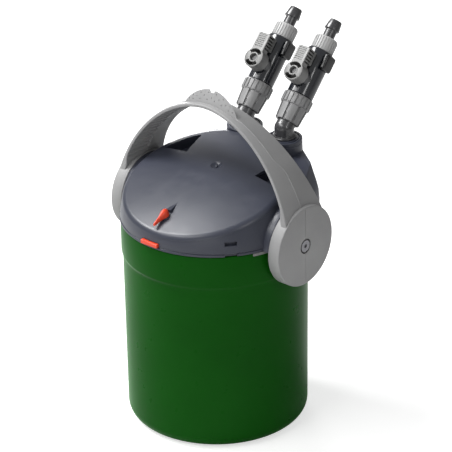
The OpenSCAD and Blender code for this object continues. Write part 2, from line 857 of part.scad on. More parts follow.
module handle() {
  color("lightgray") difference() {
    union() {
      handle_frame() arch();
      sides() translate([hub_x0, hub_y, hub_z]) rotate([0, 90, 0]) rotate_extrude($fn = fine)
        polygon([[0, 0], [hub_r - hub_edge, 0], [hub_r, hub_edge],
          [hub_r, hub_t - hub_chamfer], [hub_r - hub_chamfer, hub_t], [0, hub_t]]);
    }
    sides() translate([0, hub_y, hub_z]) {
      translate([hub_x0 - 1, 0, 0]) along_x(pivot_r + run_gap, hub_t + 2, mid);
      translate([hub_x1 - pivot_sink, 0, 0]) along_x(pivot_head_r + pass_gap, 10, mid);
    }
  }
}

// ports and taps

module elbow_run(s, r, ball, over) {
  translate([s * port_x, port_y, can_h + tower_h - elbow_depth - over])
    cylinder(r = r, h = elbow_depth + bend_rise + over, $fn = fine);
  translate([s * port_x, port_y, can_h + tower_h + bend_rise]) sphere(r = ball, $fn = fine);
  tap_frame(s) cylinder(r = r - bend_step, h = flange_s + elbow_flange_t + over, $fn = fine);
}

module elbow(s) {
  port_top = can_h + tower_h;
  color("dimgray") difference() {
    union() {
      elbow_run(s, elbow_r, elbow_r + 0.8, 0);
      translate([s * port_x, port_y, port_top - elbow_depth])
        cylinder(r = tower_bore - seat_gap, h = elbow_depth + 1, $fn = fine);
      translate([s * port_x, port_y, port_top + seat_gap]) cylinder(r = elbow_ring_r, h = 2, $fn = fine);
      tap_frame(s) translate([0, 0, flange_s]) cylinder(r = elbow_flange_r, h = elbow_flange_t, $fn = fine);
    }
    elbow_run(s, bore_r, bore_r + 0.6, 1);
    translate([s * port_x, port_y, port_top - elbow_depth + 6]) rotate_extrude($fn = fine)
      translate([tower_bore - 2.2, -1.3]) square([4, 2.6]);
  }
}

module elbow_left() {
  elbow(-1);
}

module elbow_right() {
  elbow(1);
}

module elbow_seals() {
  color("black") for (s = [-1, 1]) translate([s * port_x, port_y, can_h + tower_h - elbow_depth + 6])
    ring(tower_bore - 1.15, 1.05);
}

module coupling_seals() {
  color("black") for (s = [-1, 1]) tap_frame(s) translate([0, 0, seat_s - 0.5]) ring(8, 0.48);
}

module union_nut(s) {
  step_s = 16.3;
  slot_wall = 0.7;
  color("gray") tap_frame(s) translate([0, 0, nut_s]) difference() {
    union() {
      rotate_extrude($fn = fine) polygon([[0, 0], [nut_r - 2.6, 0], [nut_r - 2.1, 0.6],
        [nut_r - 1, step_s], [nut_r - 0.5, step_s], [nut_r, step_s + 0.6],
        [nut_r, nut_len - 0.8], [nut_r - 0.8, nut_len], [0, nut_len]]);
      for (a = [0:18:342]) rotate(a)
        translate([nut_r - 2, -0.7, step_s + 0.4]) cube([2.4, 1.4, nut_len - step_s - 1]);
    }
    translate([0, 0, -1]) cylinder(r = elbow_r + pass_gap, h = 20, $fn = fine);
    translate([0, 0, lip_s - nut_s]) cylinder(r = tap_r + run_gap, h = nut_len, $fn = fine);
    for (a = [0:45:315]) rotate(a) translate([tap_r + run_gap + slot_wall, -0.8, -1])
      cube([4, 1.6, step_s + 0.7]);
  }
}

module union_nut_left() {
  union_nut(-1);
}

module union_nut_right() {
  union_nut(1);
}

module tap_body(s) {
  color("dimgray") tap_frame(s) difference() {
    union() {
      translate([0, 0, seat_s]) cylinder(r = tap_r, h = body_top - seat_s, $fn = fine);
      translate([0, 0, body_top - 1]) cylinder(r = tail_r + 0.9, h = 9, $fn = fine);
      translate([0, 0, knob_s]) rotate([90, 0, 0])
        cylinder(r1 = neck_foot, r2 = neck_r, h = neck_h, $fn = fine);
    }
    translate([0, 0, seat_s - 1]) cylinder(r = bore_r, h = 200, $fn = mid);
    translate([0, -neck_h - 1, knob_s]) along_y(plug_r1 + run_gap, neck_h + 1 + plug_r1, mid);
    translate([0, 0, body_top + 1]) cylinder(r = tail_r + seat_gap / 2, h = 20, $fn = mid);
    translate([catch_pocket, -catch_w / 2 + 1.2, catch_s0 + 1.2])
      cube([10, catch_w - 2.4, catch_s1 - catch_s0 - 2.4]);
    translate([0, 0, seat_s - eps]) rotate_extrude($fn = fine) translate([7.2, 0]) square([1.6, 0.4]);
  }
}

module tap_body_left() {
  tap_body(-1);
}

module tap_body_right() {
  tap_body(1);
}

module hose_barb(s) {
  s0 = body_top + 1 + eps;
  color("dimgray") tap_frame(s) difference() {
    rotate_extrude($fn = fine) polygon([[0, s0], [tail_r, s0], [tail_r, s0 + 6], [stem_r, s0 + 8],
      [stem_r, barb_s + 6], [barb_r, barb_s + 7.4], [barb_r, barb_s + 9.2],
      [stem_r - 0.2, barb_s + barb_len], [0, barb_s + barb_len]]);
    translate([0, 0, s0 - 1]) cylinder(r = bore_r, h = 100, $fn = mid);
  }
}

module hose_barb_left() {
  hose_barb(-1);
}

module hose_barb_right() {
  hose_barb(1);
}

module hose_nut(s) {
  r = tap_r;
  color("silver") tap_frame(s) translate([0, 0, hose_nut_s]) difference() {
    rotate_extrude($fn = fine) polygon([[0, 0], [r - 0.5, 0], [r, 0.5],
      [r, hose_nut_len - 2.5], [r - 1.6, hose_nut_len], [0, hose_nut_len]]);
    translate([0, 0, -1]) cylinder(r = tail_r + 0.9 + run_gap, h = 50, $fn = fine);
    for (a = [0:12:348]) rotate(a) translate([r - 0.6, -0.5, 1.2]) cube([2, 1, hose_nut_len - 4.4]);
  }
}

module hose_nut_left() {
  hose_nut(-1);
}

module hose_nut_right() {
  hose_nut(1);
}

module tap_lever(s) {
  color("silver") tap_frame(s) translate([0, 0, knob_s]) difference() {
    union() {
      translate([0, -knob_y1, 0]) along_y(knob_r, knob_t);
      translate([-lever_w / 2, -knob_y1, 0]) cube([lever_w, knob_y1 - lever_y0, lever_len]);
      for (z = [knob_r + 2.6:2.6:lever_len - 1.5]) translate([-lever_w / 2 - 0.7, -knob_y1 + 1, z])
        cube([lever_w + 1.4, knob_y1 - lever_y0 - 2, 1.2]);
    }
    translate([0, -knob_y1 - 1, 0]) along_y(2.4, 20, mid);
    translate([0, -stem_top, 0]) along_y(4 + thread_gap, 20, mid);
    for (a = [90, 270]) rotate([0, a, 0]) translate([0, -knob_y1 - eps, 0]) rotate([-90, 0, 0])
      rotate(-50) rotate_extrude(angle = 100, $fn = mid) translate([5.2, 0]) square([2.2, 3]);
  }
}

module tap_lever_left() {
  tap_lever(-1);
}

module tap_lever_right() {
  tap_lever(1);
}

module tap_plug(s) {
  color("white") tap_frame(s) translate([0, 0, knob_s]) difference() {
    union() {
      translate([0, -neck_h + 0.4, 0]) along_y(plug_r1, neck_h - 0.4 + plug_r1 - 0.4, fine);
      translate([0, -stem_top + eps, 0]) along_y(4, stem_top - neck_h + 1, mid);
    }
    translate([0, 0, -20]) cylinder(r = bore_r, h = 40, $fn = mid);
    translate([0, -stem_top - 1, 0]) along_y(1.2 + thread_gap, 9, low);
    translate([0, -neck_h + 3, 0]) rotate([-90, 0, 0]) rotate_extrude($fn = fine)
      translate([plug_r1 - 1.4, 0]) square([4, 1.9]);
  }
}

module tap_plug_left() {
  tap_plug(-1);
}

module tap_plug_right() {
  tap_plug(1);
}

module plug_seal(s) {
  color("black") tap_frame(s) translate([0, -neck_h + 3.95, knob_s]) rotate([-90, 0, 0])
    ring(plug_r1 - 0.68, 0.66);
}

module plug_seal_left() {
  plug_seal(-1);
}

module plug_seal_right() {
  plug_seal(1);
}

module knob_screw(s) {
  color("silver") tap_frame(s) translate([0, 0, knob_s]) {
    translate([0, -stem_top - 1.6, 0]) along_y(2.3, 1.6, mid);
    translate([0, -stem_top - 0.1, 0]) along_y(1.2, 7, low);
  }
}

module knob_screw_left() {
  knob_screw(-1);
}

module knob_screw_right() {
  knob_screw(1);
}

module release_catch(s) {
  len = catch_s1 - catch_s0;
  color("black") tap_frame(s) translate([0, 0, catch_s0]) {
    translate([catch_in, -catch_w / 2 + 1.5, 1.5]) cube([catch_cap - catch_in + 1, catch_w - 3, len - 3]);
    difference() {
      translate([catch_cap, -catch_w / 2, 0]) cube([catch_out - catch_cap, catch_w, len]);
      for (z = [2.4:2.4:len - 2]) translate([catch_out - 0.6, -catch_w, z]) cube([2, 2 * catch_w, 1]);
    }
  }
}

module release_catch_left() {
  release_catch(-1);
}

module release_catch_right() {
  release_catch(1);
}

canister();
bottom_grid();
lower_basket();
upper_basket();
basket_screen();
coarse_pad();
bio_media();
fine_pad();
intake_pipe();
lock_lugs();
lid_shell();
lid_cover();
pump_deck();
lid_seal();
deck_screws();
stator_core();
stator_coils();
rotor_shaft();
shaft_bushes();
pump_cover();
suction_duct();
pressure_duct();
cable_gland();
pivot_screws();
vent_pin();
elbow_left();
elbow_right();
elbow_seals();
tap_body_left();
tap_body_right();
coupling_seals();
hose_barb_left();
hose_barb_right();
handle();
vent_lever();
front_catch();
rotor_magnet();
impeller();
union_nut_left();
union_nut_right();
hose_nut_left();
hose_nut_right();
tap_lever_left();
tap_lever_right();
tap_plug_left();
tap_plug_right();
plug_seal_left();
plug_seal_right();
knob_screw_left();
knob_screw_right();
release_catch_left();
release_catch_right();
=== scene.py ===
"""External canister filter: studio, finishes and the pieces that stand for the plain solids."""
import math

import bmesh
import bpy
from mathutils import Matrix, Vector


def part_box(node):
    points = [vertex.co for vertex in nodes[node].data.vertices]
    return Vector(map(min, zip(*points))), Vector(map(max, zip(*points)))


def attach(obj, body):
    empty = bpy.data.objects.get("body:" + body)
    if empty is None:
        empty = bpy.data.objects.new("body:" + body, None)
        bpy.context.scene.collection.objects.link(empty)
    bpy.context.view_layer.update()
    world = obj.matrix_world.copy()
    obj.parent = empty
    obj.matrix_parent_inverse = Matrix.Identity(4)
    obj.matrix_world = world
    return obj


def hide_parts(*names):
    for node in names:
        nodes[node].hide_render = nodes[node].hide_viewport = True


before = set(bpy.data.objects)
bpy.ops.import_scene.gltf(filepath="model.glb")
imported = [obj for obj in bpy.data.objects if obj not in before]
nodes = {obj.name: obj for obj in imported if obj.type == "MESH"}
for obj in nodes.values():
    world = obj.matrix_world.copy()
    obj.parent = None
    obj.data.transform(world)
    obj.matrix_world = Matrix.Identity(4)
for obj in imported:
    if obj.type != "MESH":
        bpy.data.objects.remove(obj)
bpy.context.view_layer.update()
MM = 0.001

# The studio: a long lens to the right of the front and above the lid. Its lengths are in metres.
AIM = Vector((10.1, 3.7, 192.5)) * MM
TO_CAMERA = Vector((0.582, -0.677, 0.449)).normalized()
CAMERA_AWAY = 3.5
CAMERA_ROLL = -0.96
PICTURE_WIDTH = 0.421
SENSOR_WIDTH = 36.0
FAR_LIMIT = 60.0


def studio_camera():
    data = bpy.data.cameras.new("studio_camera")
    data.sensor_width = SENSOR_WIDTH
    data.lens = SENSOR_WIDTH * CAMERA_AWAY / PICTURE_WIDTH
    data.clip_end = FAR_LIMIT
    camera = bpy.data.objects.new("studio_camera", data)
    looking = TO_CAMERA.to_track_quat("Z", "Y").to_matrix().to_4x4()
    roll = Matrix.Rotation(math.radians(CAMERA_ROLL), 4, "Z")
    camera.matrix_world = Matrix.Translation(AIM + TO_CAMERA * CAMERA_AWAY) @ looking @ roll
    bpy.context.scene.collection.objects.link(camera)
    bpy.context.scene.camera = camera


studio_camera()
bpy.context.scene.view_settings.view_transform = "Standard"


# Finishes: a wire is one output of a node, and arithmetic on wires adds Math nodes.
class Wire:
    def __init__(self, shading, socket):
        self.shading = shading
        self.socket = socket

    def __add__(self, other):
        return self.shading.math("ADD", self, other)

    def __mul__(self, other):
        return self.shading.math("MULTIPLY", self, other)

    __radd__ = __add__
    __rmul__ = __mul__


class Shading:
    """A node tree. Every new node comes from add: its settings first, then its sockets."""

    def __init__(self, tree):
        self.tree = tree

    def add(self, kind, settings=None, sockets=None, out=0):
        made = self.tree.nodes.new(kind)
        for name, value in (settings or {}).items():
            setattr(made, name, value)
        for key, value in (sockets or {}).items():
            self.feed(made.inputs[key], value)
        return Wire(self, made.outputs[out])

    def feed(self, socket, value):
        if isinstance(value, Wire):
            self.tree.links.new(value.socket, socket)
        else:
            socket.default_value = value

    def math(self, operation, a, b):
        return self.add("ShaderNodeMath", {"operation": operation}, {0: a, 1: b})

    def mix(self, share, a, b):
        return self.add("ShaderNodeMix", {"data_type": "RGBA"}, {0: share, 6: a, 7: b}, 2)

    def noise(self, scale, detail):
        where = self.add("ShaderNodeTexCoord", out="Object")
        return self.add("ShaderNodeTexNoise", None, {"Vector": where, "Scale": scale, "Detail": detail})

    def stretch(self, value, low, high, new_low=0.0, new_high=1.0):
        sockets = {0: value, 1: low, 2: high, 3: new_low, 4: new_high}
        return self.add("ShaderNodeMapRange", {"clamp": True}, sockets)

    def bump(self, height, depth):
        return self.add("ShaderNodeBump", None, {"Height": height, "Distance": depth})


class Finish(Shading):
    """A material with one shader."""

    def __init__(self, name, **constants):
        self.material = bpy.data.materials.new(name)
        self.material.use_nodes = True
        super().__init__(self.material.node_tree)
        self.shader = self.tree.nodes["Principled BSDF"]
        self.surface(**constants)

    def surface(self, **values):
        for socket, value in values.items():
            self.feed(self.shader.inputs[socket.replace("_", " ")], value)
        return self.material


def tone(red, green, blue):
    """A colour as a screen shows it, from 0 to 255, as linear light."""
    def linear(c):
        c = c / 255
        return c / 12.92 if c <= 0.04045 else ((c + 0.055) / 1.055) ** 2.4
    return (linear(red), linear(green), linear(blue), 1.0)


def grey(level):
    return (level, level, level, 1.0)


DRIFT_SCALE = 14.0
DRIFT_SHARE = 0.6
SHEEN_SCALE = 90.0


def moulded(name, light, dark, rough, grain, depth, uneven=0.16, **constants):
    """Moulded plastic: slow drift between two tones, fine grain, uneven sheen."""
    finish = Finish(name, **constants)
    drift = finish.stretch(finish.noise(DRIFT_SCALE, 4.0), 0.3, 0.7)
    speck = finish.noise(grain, 2.0)
    share = drift * DRIFT_SHARE + speck * (1 - DRIFT_SHARE)
    sheen = finish.noise(SHEEN_SCALE, 3.0) * uneven + (rough - uneven / 2)
    return finish.surface(Base_Color=finish.mix(share, tone(*dark), tone(*light)), Roughness=sheen,
                          Normal=finish.bump(speck, depth * MM))


GREEN = moulded("tub_green", (15, 79, 13), (11, 70, 10), rough=0.28, grain=900.0, depth=0.0008, uneven=0.03,
                Specular_IOR_Level=0.05, Sheen_Weight=0.16, Sheen_Roughness=0.3,
                Sheen_Tint=(0.0, 0.9, 0.0, 1.0))
ANTHRACITE = moulded("lid_anthracite", (59, 62, 74), (49, 52, 63), rough=0.34, grain=2600.0, depth=0.02)
GRIP_GREY = moulded("grip_grey", (158, 158, 158), (132, 132, 133), rough=0.5, grain=1900.0, depth=0.05)
NUT_GREY = moulded("nut_grey", (142, 142, 142), (124, 124, 125), rough=0.34, grain=2200.0, depth=0.02)
PALE_GREY = moulded("knob_grey", (124, 124, 123), (108, 108, 107), rough=0.36, grain=2200.0, depth=0.02)
RING_GREY = moulded("ring_grey", (188, 188, 188), (172, 172, 172), rough=0.45, grain=2200.0, depth=0.02)
DARK_GREY = moulded("elbow_grey", (62, 62, 64), (48, 48, 50), rough=0.26, grain=1800.0, depth=0.008,
                    Specular_IOR_Level=0.8)
BLUE_BLACK = moulded("valve_black", (26, 29, 36), (18, 21, 27), rough=0.17, grain=1500.0, depth=0.004,
                     Specular_IOR_Level=0.9)
BLACK = moulded("catch_black", (20, 20, 22), (13, 13, 15), rough=0.22, grain=1500.0, depth=0.01)
RED = moulded("lever_red", (232, 76, 44), (218, 62, 34), rough=0.34, grain=2000.0, depth=0.01)
INNER_GREY = moulded("inner_grey", (140, 141, 142), (120, 121, 122), rough=0.5, grain=1800.0, depth=0.02)
RUBBER = moulded("seal_rubber", (26, 26, 27), (18, 18, 19), rough=0.7, grain=1500.0, depth=0.03)
STEEL = moulded("screw_steel", (150, 150, 154), (120, 120, 124), rough=0.32, grain=1500.0, depth=0.01,
                Metallic=1.0)
BLACK_STEEL = moulded("screw_black", (44, 44, 46), (28, 28, 30), rough=0.4, grain=1500.0, depth=0.01)
IRON = moulded("core_iron", (104, 104, 108), (84, 84, 88), rough=0.5, grain=1200.0, depth=0.03, Metallic=1.0)
COPPER = moulded("coil_copper", (176, 108, 62), (150, 84, 44), rough=0.36, grain=1200.0, depth=0.03,
                 Metallic=1.0)
CERAMIC = moulded("ceramic_white", (226, 223, 214), (208, 204, 194), rough=0.3, grain=1500.0, depth=0.01)
FOAM_BLUE = moulded("foam_blue", (60, 110, 160), (40, 84, 130), rough=0.9, grain=500.0, depth=0.8)
FLEECE = moulded("fleece_white", (236, 236, 230), (214, 214, 206), rough=0.95, grain=700.0, depth=0.6)
MEDIA = moulded("media_tan", (196, 172, 138), (160, 136, 104), rough=0.8, grain=260.0, depth=1.2)

FINISHED = {
    GREEN: ["canister"],
    ANTHRACITE: ["lid_shell", "lid_cover"],
    GRIP_GREY: ["handle"],
    NUT_GREY: ["union_nut_left", "union_nut_right"],
    PALE_GREY: ["hose_nut_left", "hose_nut_right", "tap_lever_left", "tap_lever_right",
                "lock_lugs", "impeller"],
    BLUE_BLACK: ["tap_body_left", "tap_body_right"],
    DARK_GREY: ["elbow_left", "elbow_right", "hose_barb_left", "hose_barb_right"],
    BLACK: ["release_catch_left", "release_catch_right"],
    RED: ["vent_lever", "front_catch"],
    INNER_GREY: ["bottom_grid", "lower_basket", "upper_basket", "basket_screen", "intake_pipe", "pump_deck",
                 "pump_cover", "suction_duct", "pressure_duct", "tap_plug_left", "tap_plug_right"],
    RUBBER: ["lid_seal", "shaft_bushes", "cable_gland", "elbow_seals", "coupling_seals",
             "plug_seal_left", "plug_seal_right"],
    STEEL: ["deck_screws", "pivot_screws", "vent_pin"],
    BLACK_STEEL: ["knob_screw_left", "knob_screw_right"],
    IRON: ["stator_core", "rotor_magnet"],
    COPPER: ["stator_coils"],
    CERAMIC: ["rotor_shaft"],
    FOAM_BLUE: ["coarse_pad"],
    FLEECE: ["fine_pad"],
    MEDIA: ["bio_media"],
}
for finish, names in FINISHED.items():
    for name in names:
        nodes[name].data.materials.clear()
        nodes[name].data.materials.append(finish)


def skin_group():
    """One closed skin: points joined, no stored shading, all faces smooth."""
    group = bpy.data.node_groups.new("one_skin", "GeometryNodeTree")
    group.interface.new_socket("Geometry", in_out="INPUT", socket_type="NodeSocketGeometry")
    group.interface.new_socket("Geometry", in_out="OUTPUT", socket_type="NodeSocketGeometry")
    start = group.nodes.new("NodeGroupInput")
    bare = group.nodes.new("GeometryNodeRemoveAttribute")
    bare.inputs["Name"].default_value = "custom_normal"
    merge = group.nodes.new("GeometryNodeMergeByDistance")
    merge.inputs["Distance"].default_value = 2e-6
    smooth = group.nodes.new("GeometryNodeSetShadeSmooth")
    end = group.nodes.new("NodeGroupOutput")
    for a, b in ((start, bare), (bare, merge), (merge, smooth), (smooth, end)):
        group.links.new(a.outputs[0], b.inputs[0])
    return group


ONE_SKIN = skin_group()
FLAT_ANGLE = math.radians(0.4)
EDGE_ANGLE = math.radians(35)
EDGE_WIDTHS = {"lock_lugs": 0.2, "front_catch": 0.6, "pivot_screws": 0.2, "cable_gland": 0.4}


def soften(piece, width):
    """Rounds the moulded edges of a piece with modifiers only."""
    skin = piece.modifiers.new("one_skin", "NODES")
    skin.node_group = ONE_SKIN
    flat = piece.modifiers.new("flat", "DECIMATE")
    flat.decimate_type = "DISSOLVE"
    flat.angle_limit = FLAT_ANGLE
    edge = piece.modifiers.new("edge", "BEVEL")
    edge.width = width * MM
    edge.segments = 2
    edge.limit_method = "ANGLE"
    edge.angle_limit = EDGE_ANGLE
    even = piece.modifiers.new("even", "WEIGHTED_NORMAL")
    even.keep_sharp = False
    even.weight = 60


for name, width in EDGE_WIDTHS.items():
    soften(nodes[name], width)


# Mesh tools: points in millimetres, every piece a closed skin.
def kept(name, mesh, work):
    """A new piece with the mesh that was worked on."""
    bmesh.ops.recalc_face_normals(work, faces=work.faces)
    work.to_mesh(mesh)
    work.free()
    piece = bpy.data.objects.new(name, mesh)
    bpy.context.scene.collection.objects.link(piece)
    return piece


def skinned(name, points, faces):
    mesh = bpy.data.meshes.new(name)
    mesh.from_pydata([Vector(p) * MM for p in points], [], faces)
    work = bmesh.new()
    work.from_mesh(mesh)
    bmesh.ops.remove_doubles(work, verts=work.verts, dist=1e-7)
    return kept(name, mesh, work)


def hulled(name, points):
    work = bmesh.new()
    for p in points:
        work.verts.new(Vector(p) * MM)
    bmesh.ops.convex_hull(work, input=work.verts)
    for point in [v for v in work.verts if not v.link_faces]:
        work.verts.remove(point)
    return kept(name, bpy.data.meshes.new(name), work)


def beads(name, centres, r):
    """Many small balls in one mesh, to cut pits with."""
    work = bmesh.new()
    for centre in centres:
        place = Matrix.Translation(centre * MM)
        bmesh.ops.create_icosphere(work, subdivisions=1, radius=r * MM, matrix=place)
    return kept(name, bpy.data.meshes.new(name), work)


def lofted(name, rings, around=False):
    """A skin over rings of equally many points; its ends are closed or, around, joined."""
    n = len(rings[0])
    points = [p for ring in rings for p in ring]
    faces = []
    for i in range(len(rings) if around else len(rings) - 1):
        a, b = i * n, (i + 1) % len(rings) * n
        faces += [(a + j, a + (j + 1) % n, b + (j + 1) % n, b + j) for j in range(n)]
    if not around:
        faces += [tuple(reversed(range(n))), tuple(range(len(points) - n, len(points)))]
    return skinned(name, points, faces)


def turned(name, outline, place=Matrix(), steps=160):
    """A turned solid: an outline of (radius, height) round the Z axis of its place."""
    rings = []
    for i in range(steps):
        a = 2 * math.pi * i / steps
        rings.append([place @ Vector((r * math.cos(a), r * math.sin(a), h)) for r, h in outline])
    return lofted(name, rings, around=True)


def toothed(name, outline, teeth, share, place):
    """A turned solid with teeth: an outline of (radius, height, depth of the gaps)."""
    spots = (0.04, 0.5, 0.96)
    steps = [(share * u, 0) for u in spots] + [(share + (1 - share) * u, 1) for u in spots]
    rings = []
    for i in range(teeth):
        for step, sunk in steps:
            a = 2 * math.pi * (i + step) / teeth
            line = [(r - deep * sunk, h) for r, h, deep in outline]
            rings.append([place @ Vector((r * math.cos(a), r * math.sin(a), h)) for r, h in line])
    return lofted(name, rings, around=True)


def rod(name, r, h0, h1, place=Matrix(), steps=96, edge=0.0):
    outline = [(0, h0), (r - edge, h0), (r, h0 + edge), (r, h1 - edge), (r - edge, h1), (0, h1)]
    return turned(name, outline, place, steps)


def prism(name, outline, low, high, place):
    return lofted(name, [[place @ Vector((x, y, h)) for x, y in outline] for h in (low, high)])


def block(name, low, high, place=Matrix()):
    (x0, y0, z0), (x1, y1, z1) = low, high
    return prism(name, [(x0, y0), (x1, y0), (x1, y1), (x0, y1)], z0, z1, place)


def circle(r, z, place=Matrix(), steps=288):
    turns = [2 * math.pi * i / steps for i in range(steps)]
    return [place @ Vector((r * math.cos(a), r * math.sin(a), z)) for a in turns]


def arc(middle, r, start, end, steps):
    """Points of a flat arc from one angle to another, in degrees."""
    turns = [math.radians(start + (end - start) * i / steps) for i in range(steps + 1)]
    return [(middle[0] + r * math.cos(a), middle[1] + r * math.sin(a)) for a in turns]


def rounded(corners, steps=4):
    """A closed outline with each (x, y, radius) corner rounded by the same number of points."""
    points = []
    for i, (x, y, r) in enumerate(corners):
        corner = Vector((x, y))
        before = Vector(corners[i - 1][:2]) - corner
        after = Vector(corners[(i + 1) % len(corners)][:2]) - corner
        a = corner + before.normalized() * min(r, before.length * 0.45)
        b = corner + after.normalized() * min(r, after.length * 0.45)
        for j in range(steps + 1):
            u = j / steps
            points.append(a * (1 - u) ** 2 + corner * (2 * u * (1 - u)) + b * u ** 2)
    return points


def rounded_plate(x0, x1, y0, y1, r, steps=4):
    return rounded([(x0, y0, r), (x1, y0, r), (x1, y1, r), (x0, y1, r)], steps)


def between(low, high, value):
    """Rises smoothly from 0 at low to 1 at high."""
    k = min(1.0, max(0.0, (value - low) / (high - low)))
    return k * k * (3 - 2 * k)


def carved(piece, *steps):
    """Joins ("+") and cuts ("-") other solids, keeps the result as the piece's mesh."""
    for sign, others in steps:
        for other in others:
            step = piece.modifiers.new("step", "BOOLEAN")
            step.operation = "UNION" if sign == "+" else "DIFFERENCE"
            step.solver = "MANIFOLD"
            step.object = other
    bpy.context.view_layer.update()
    done = bpy.data.meshes.new_from_object(piece.evaluated_get(bpy.context.evaluated_depsgraph_get()))
    piece.modifiers.clear()
    piece.data = done
    for _, others in steps:
        for other in others:
            bpy.data.objects.remove(other)
    return piece


def dressed(piece, finish, body, replaced, angle=32.0):
    """Shading, finish and place in the model of a piece made here."""
    piece.data.materials.clear()
    piece.data.materials.append(finish)
    piece.data.shade_smooth()
    piece.data.set_sharp_from_angle(angle=math.radians(angle))
    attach(piece, body)
    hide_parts(replaced)
    return piece


def at(x, y, z):
    return Matrix.Translation((x, y, z))


def turn(axis, degrees):
    return Matrix.Rotation(math.radians(degrees), 4, axis)


X, Y, Z = range(3)


def span(node, axis):
    """Where a node of the frame begins and ends along an axis."""
    low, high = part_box(node)
    return low[axis] / MM, high[axis] / MM


def mid_span(node, axis):
    return sum(span(node, axis)) / 2


# Places in millimetres: the front looks to -Y, and the tub stands on Z = 0.
SIDES = (-1, 1)
ALONG_X = turn("Y", 90)
ALONG_Y = turn("X", -90)
SEAM_GAP = 0.6
TUB_TOP = span("canister", Z)[1]
SEAM = TUB_TOP + SEAM_GAP
PIPE_FLANGE = 11.4
PORT_X = mid_span("elbow_right", X)
PORT_Y = span("elbow_right", Y)[0] + PIPE_FLANGE
DISC = at(0, -12.4, 241.5) @ turn("X", 16)
HUB = at(0, mid_span("pivot_screws", Y), mid_span("pivot_screws", Z))
GRIP = HUB @ turn("X", 3)


def port(s):
    """The upright axis of the port on one side."""
    return at(PORT_X * s, PORT_Y, 0)


def outward(s):
    """The grip's pivot, turned so that X points out of one side."""
    return HUB @ turn("Z", 0 if s > 0 else 180)


# The pump head's casing.
LIP_RADIUS = 89.0
SKIRT_RADIUS = 88.4
SKIRT_FULLNESS = 0.005
SKIRT_STEPS = 8
DISC_RADIUS = 79.7
BOSS_ROOT, BOSS_FACE = 49.0, span("lid_shell", X)[1]
BOSS_RADIUS = 38.6
TOWER_FOOT, TOWER_TOP = 207.0, span("lid_shell", Z)[1]
TOWER_RADIUS = 17.1
TOWER_BORE = 9.6
SEAL_TOP = SEAM + 2.1
SNAP_HALF = 5.75
SNAP_TURN = 40
FAR_OUT = 96.0
PIVOT_BOSS, PIVOT_BORE = 7.0, 3.05
POST_AWAY = 78.2
POST_RADIUS, POST_BORE = 4.0, 1.65
POST_TURNS = (40, 140, 205, 246, 294, 335)
GLAND = at(0, span("cable_gland", Y)[0], mid_span("cable_gland", Z)) @ ALONG_Y
GLAND_SEAT, GLAND_BORE = 7.4, 5.5
WINDOW_GAP, WINDOW_ROOT = 0.4, -82.0


def lid_wall():
    """Outside of the casing: lip, small step, and a skirt that is a little full in the middle."""
    lip = [(-0.3, 0), (0, 0.3), (0, 1.7), (-0.2, 2.1), (-0.7, 2.3), (-1.0, 2.5), (-1.0, 2.9)]
    rings = [circle(LIP_RADIUS + r, SEAM + h) for r, h in lip]
    lower = circle(SKIRT_RADIUS, SEAM + 3.2)
    upper = circle(DISC_RADIUS - 0.1, -4.1, DISC)
    for i in range(SKIRT_STEPS + 1):
        k = i / SKIRT_STEPS
        full = 1 + SKIRT_FULLNESS * math.sin(math.pi * k)
        middle = [p.lerp(q, k) for p, q in zip(lower, upper)]
        rings.append([Vector((m.x * full, m.y * full, m.z)) for m in middle])
    return lofted("lid_body", rings)


def lid_room():
    """The casing's hollow, with a seat for the seal at its foot, and the space below the seam."""
    seat, wall_foot, wall_top, far = 85.3, 82.2, 75.4, 150
    hollow = lofted("room", [circle(seat, SEAM - 2), circle(seat, SEAL_TOP), circle(wall_foot, SEAL_TOP),
                             circle(wall_top, -3.0, DISC)])
    return [hollow, block("below", (-far, -far, SEAM - 90), (far, far, SEAM))]


def side_boss(s):
    """The round boss behind a hub of the grip."""
    r, face = BOSS_RADIUS, BOSS_FACE
    return turned("boss", [(0, BOSS_ROOT), (r, BOSS_ROOT), (r, face - 1.0), (r - 0.3, face - 0.3),
                           (r - 1.0, face), (0, face)], outward(s) @ ALONG_X)


def shoulder(s):
    """The full rounded form between a tower and the boss on its side."""
    bulge_radius = 10
    bulge = ((68.9, 53.9, 207), (68.9, 53.9, 221), (67.5, 54.5, 229), (64.3, 55.7, 235), (52.3, 61.7, 248))
    r, face = BOSS_RADIUS, BOSS_FACE
    points = []
    for z in (TOWER_FOOT, TOWER_TOP - 13):
        points += circle(TOWER_RADIUS - 0.7, z, port(s), 96)
    for ring_radius, out in ((r - 0.4, face - 9), (r - 0.4, face - 1.6), (r - 1.0, face - 1.0)):
        points += circle(ring_radius, out, outward(s) @ ALONG_X, 192)
    for x, y, z in bulge:
        points += circle(bulge_radius, z, at(x * s, y, 0), 48)
    return hulled("shoulder", points)


def tower(s):
    """A port's tower: groove under the top bead, ring groove in the face, bore for the bent pipe."""
    r, top, bore = TOWER_RADIUS, TOWER_TOP, TOWER_BORE
    bore_foot = top - 27
    groove_in, groove_out, groove_foot = 13.4, 14.6, top - 1.2
    outside = [(0, TOWER_FOOT), (r + 0.9, TOWER_FOOT), (r, top - 5), (r, top - 4.4), (r - 0.4, top - 4),
               (r - 0.4, top - 3.4), (r, top - 3), (r - 0.1, top - 0.6), (r - 0.5, top - 0.1), (r - 1, top)]
    groove = [(groove_out + 0.2, top), (groove_out, top - 0.2), (groove_out, groove_foot),
              (groove_in, groove_foot), (groove_in, top - 0.2), (groove_in - 0.2, top)]
    inside = [(bore + 0.6, top), (bore, top - 0.6), (bore, bore_foot), (0, bore_foot)]
    return turned("tower", outside + groove + inside, port(s), 144)


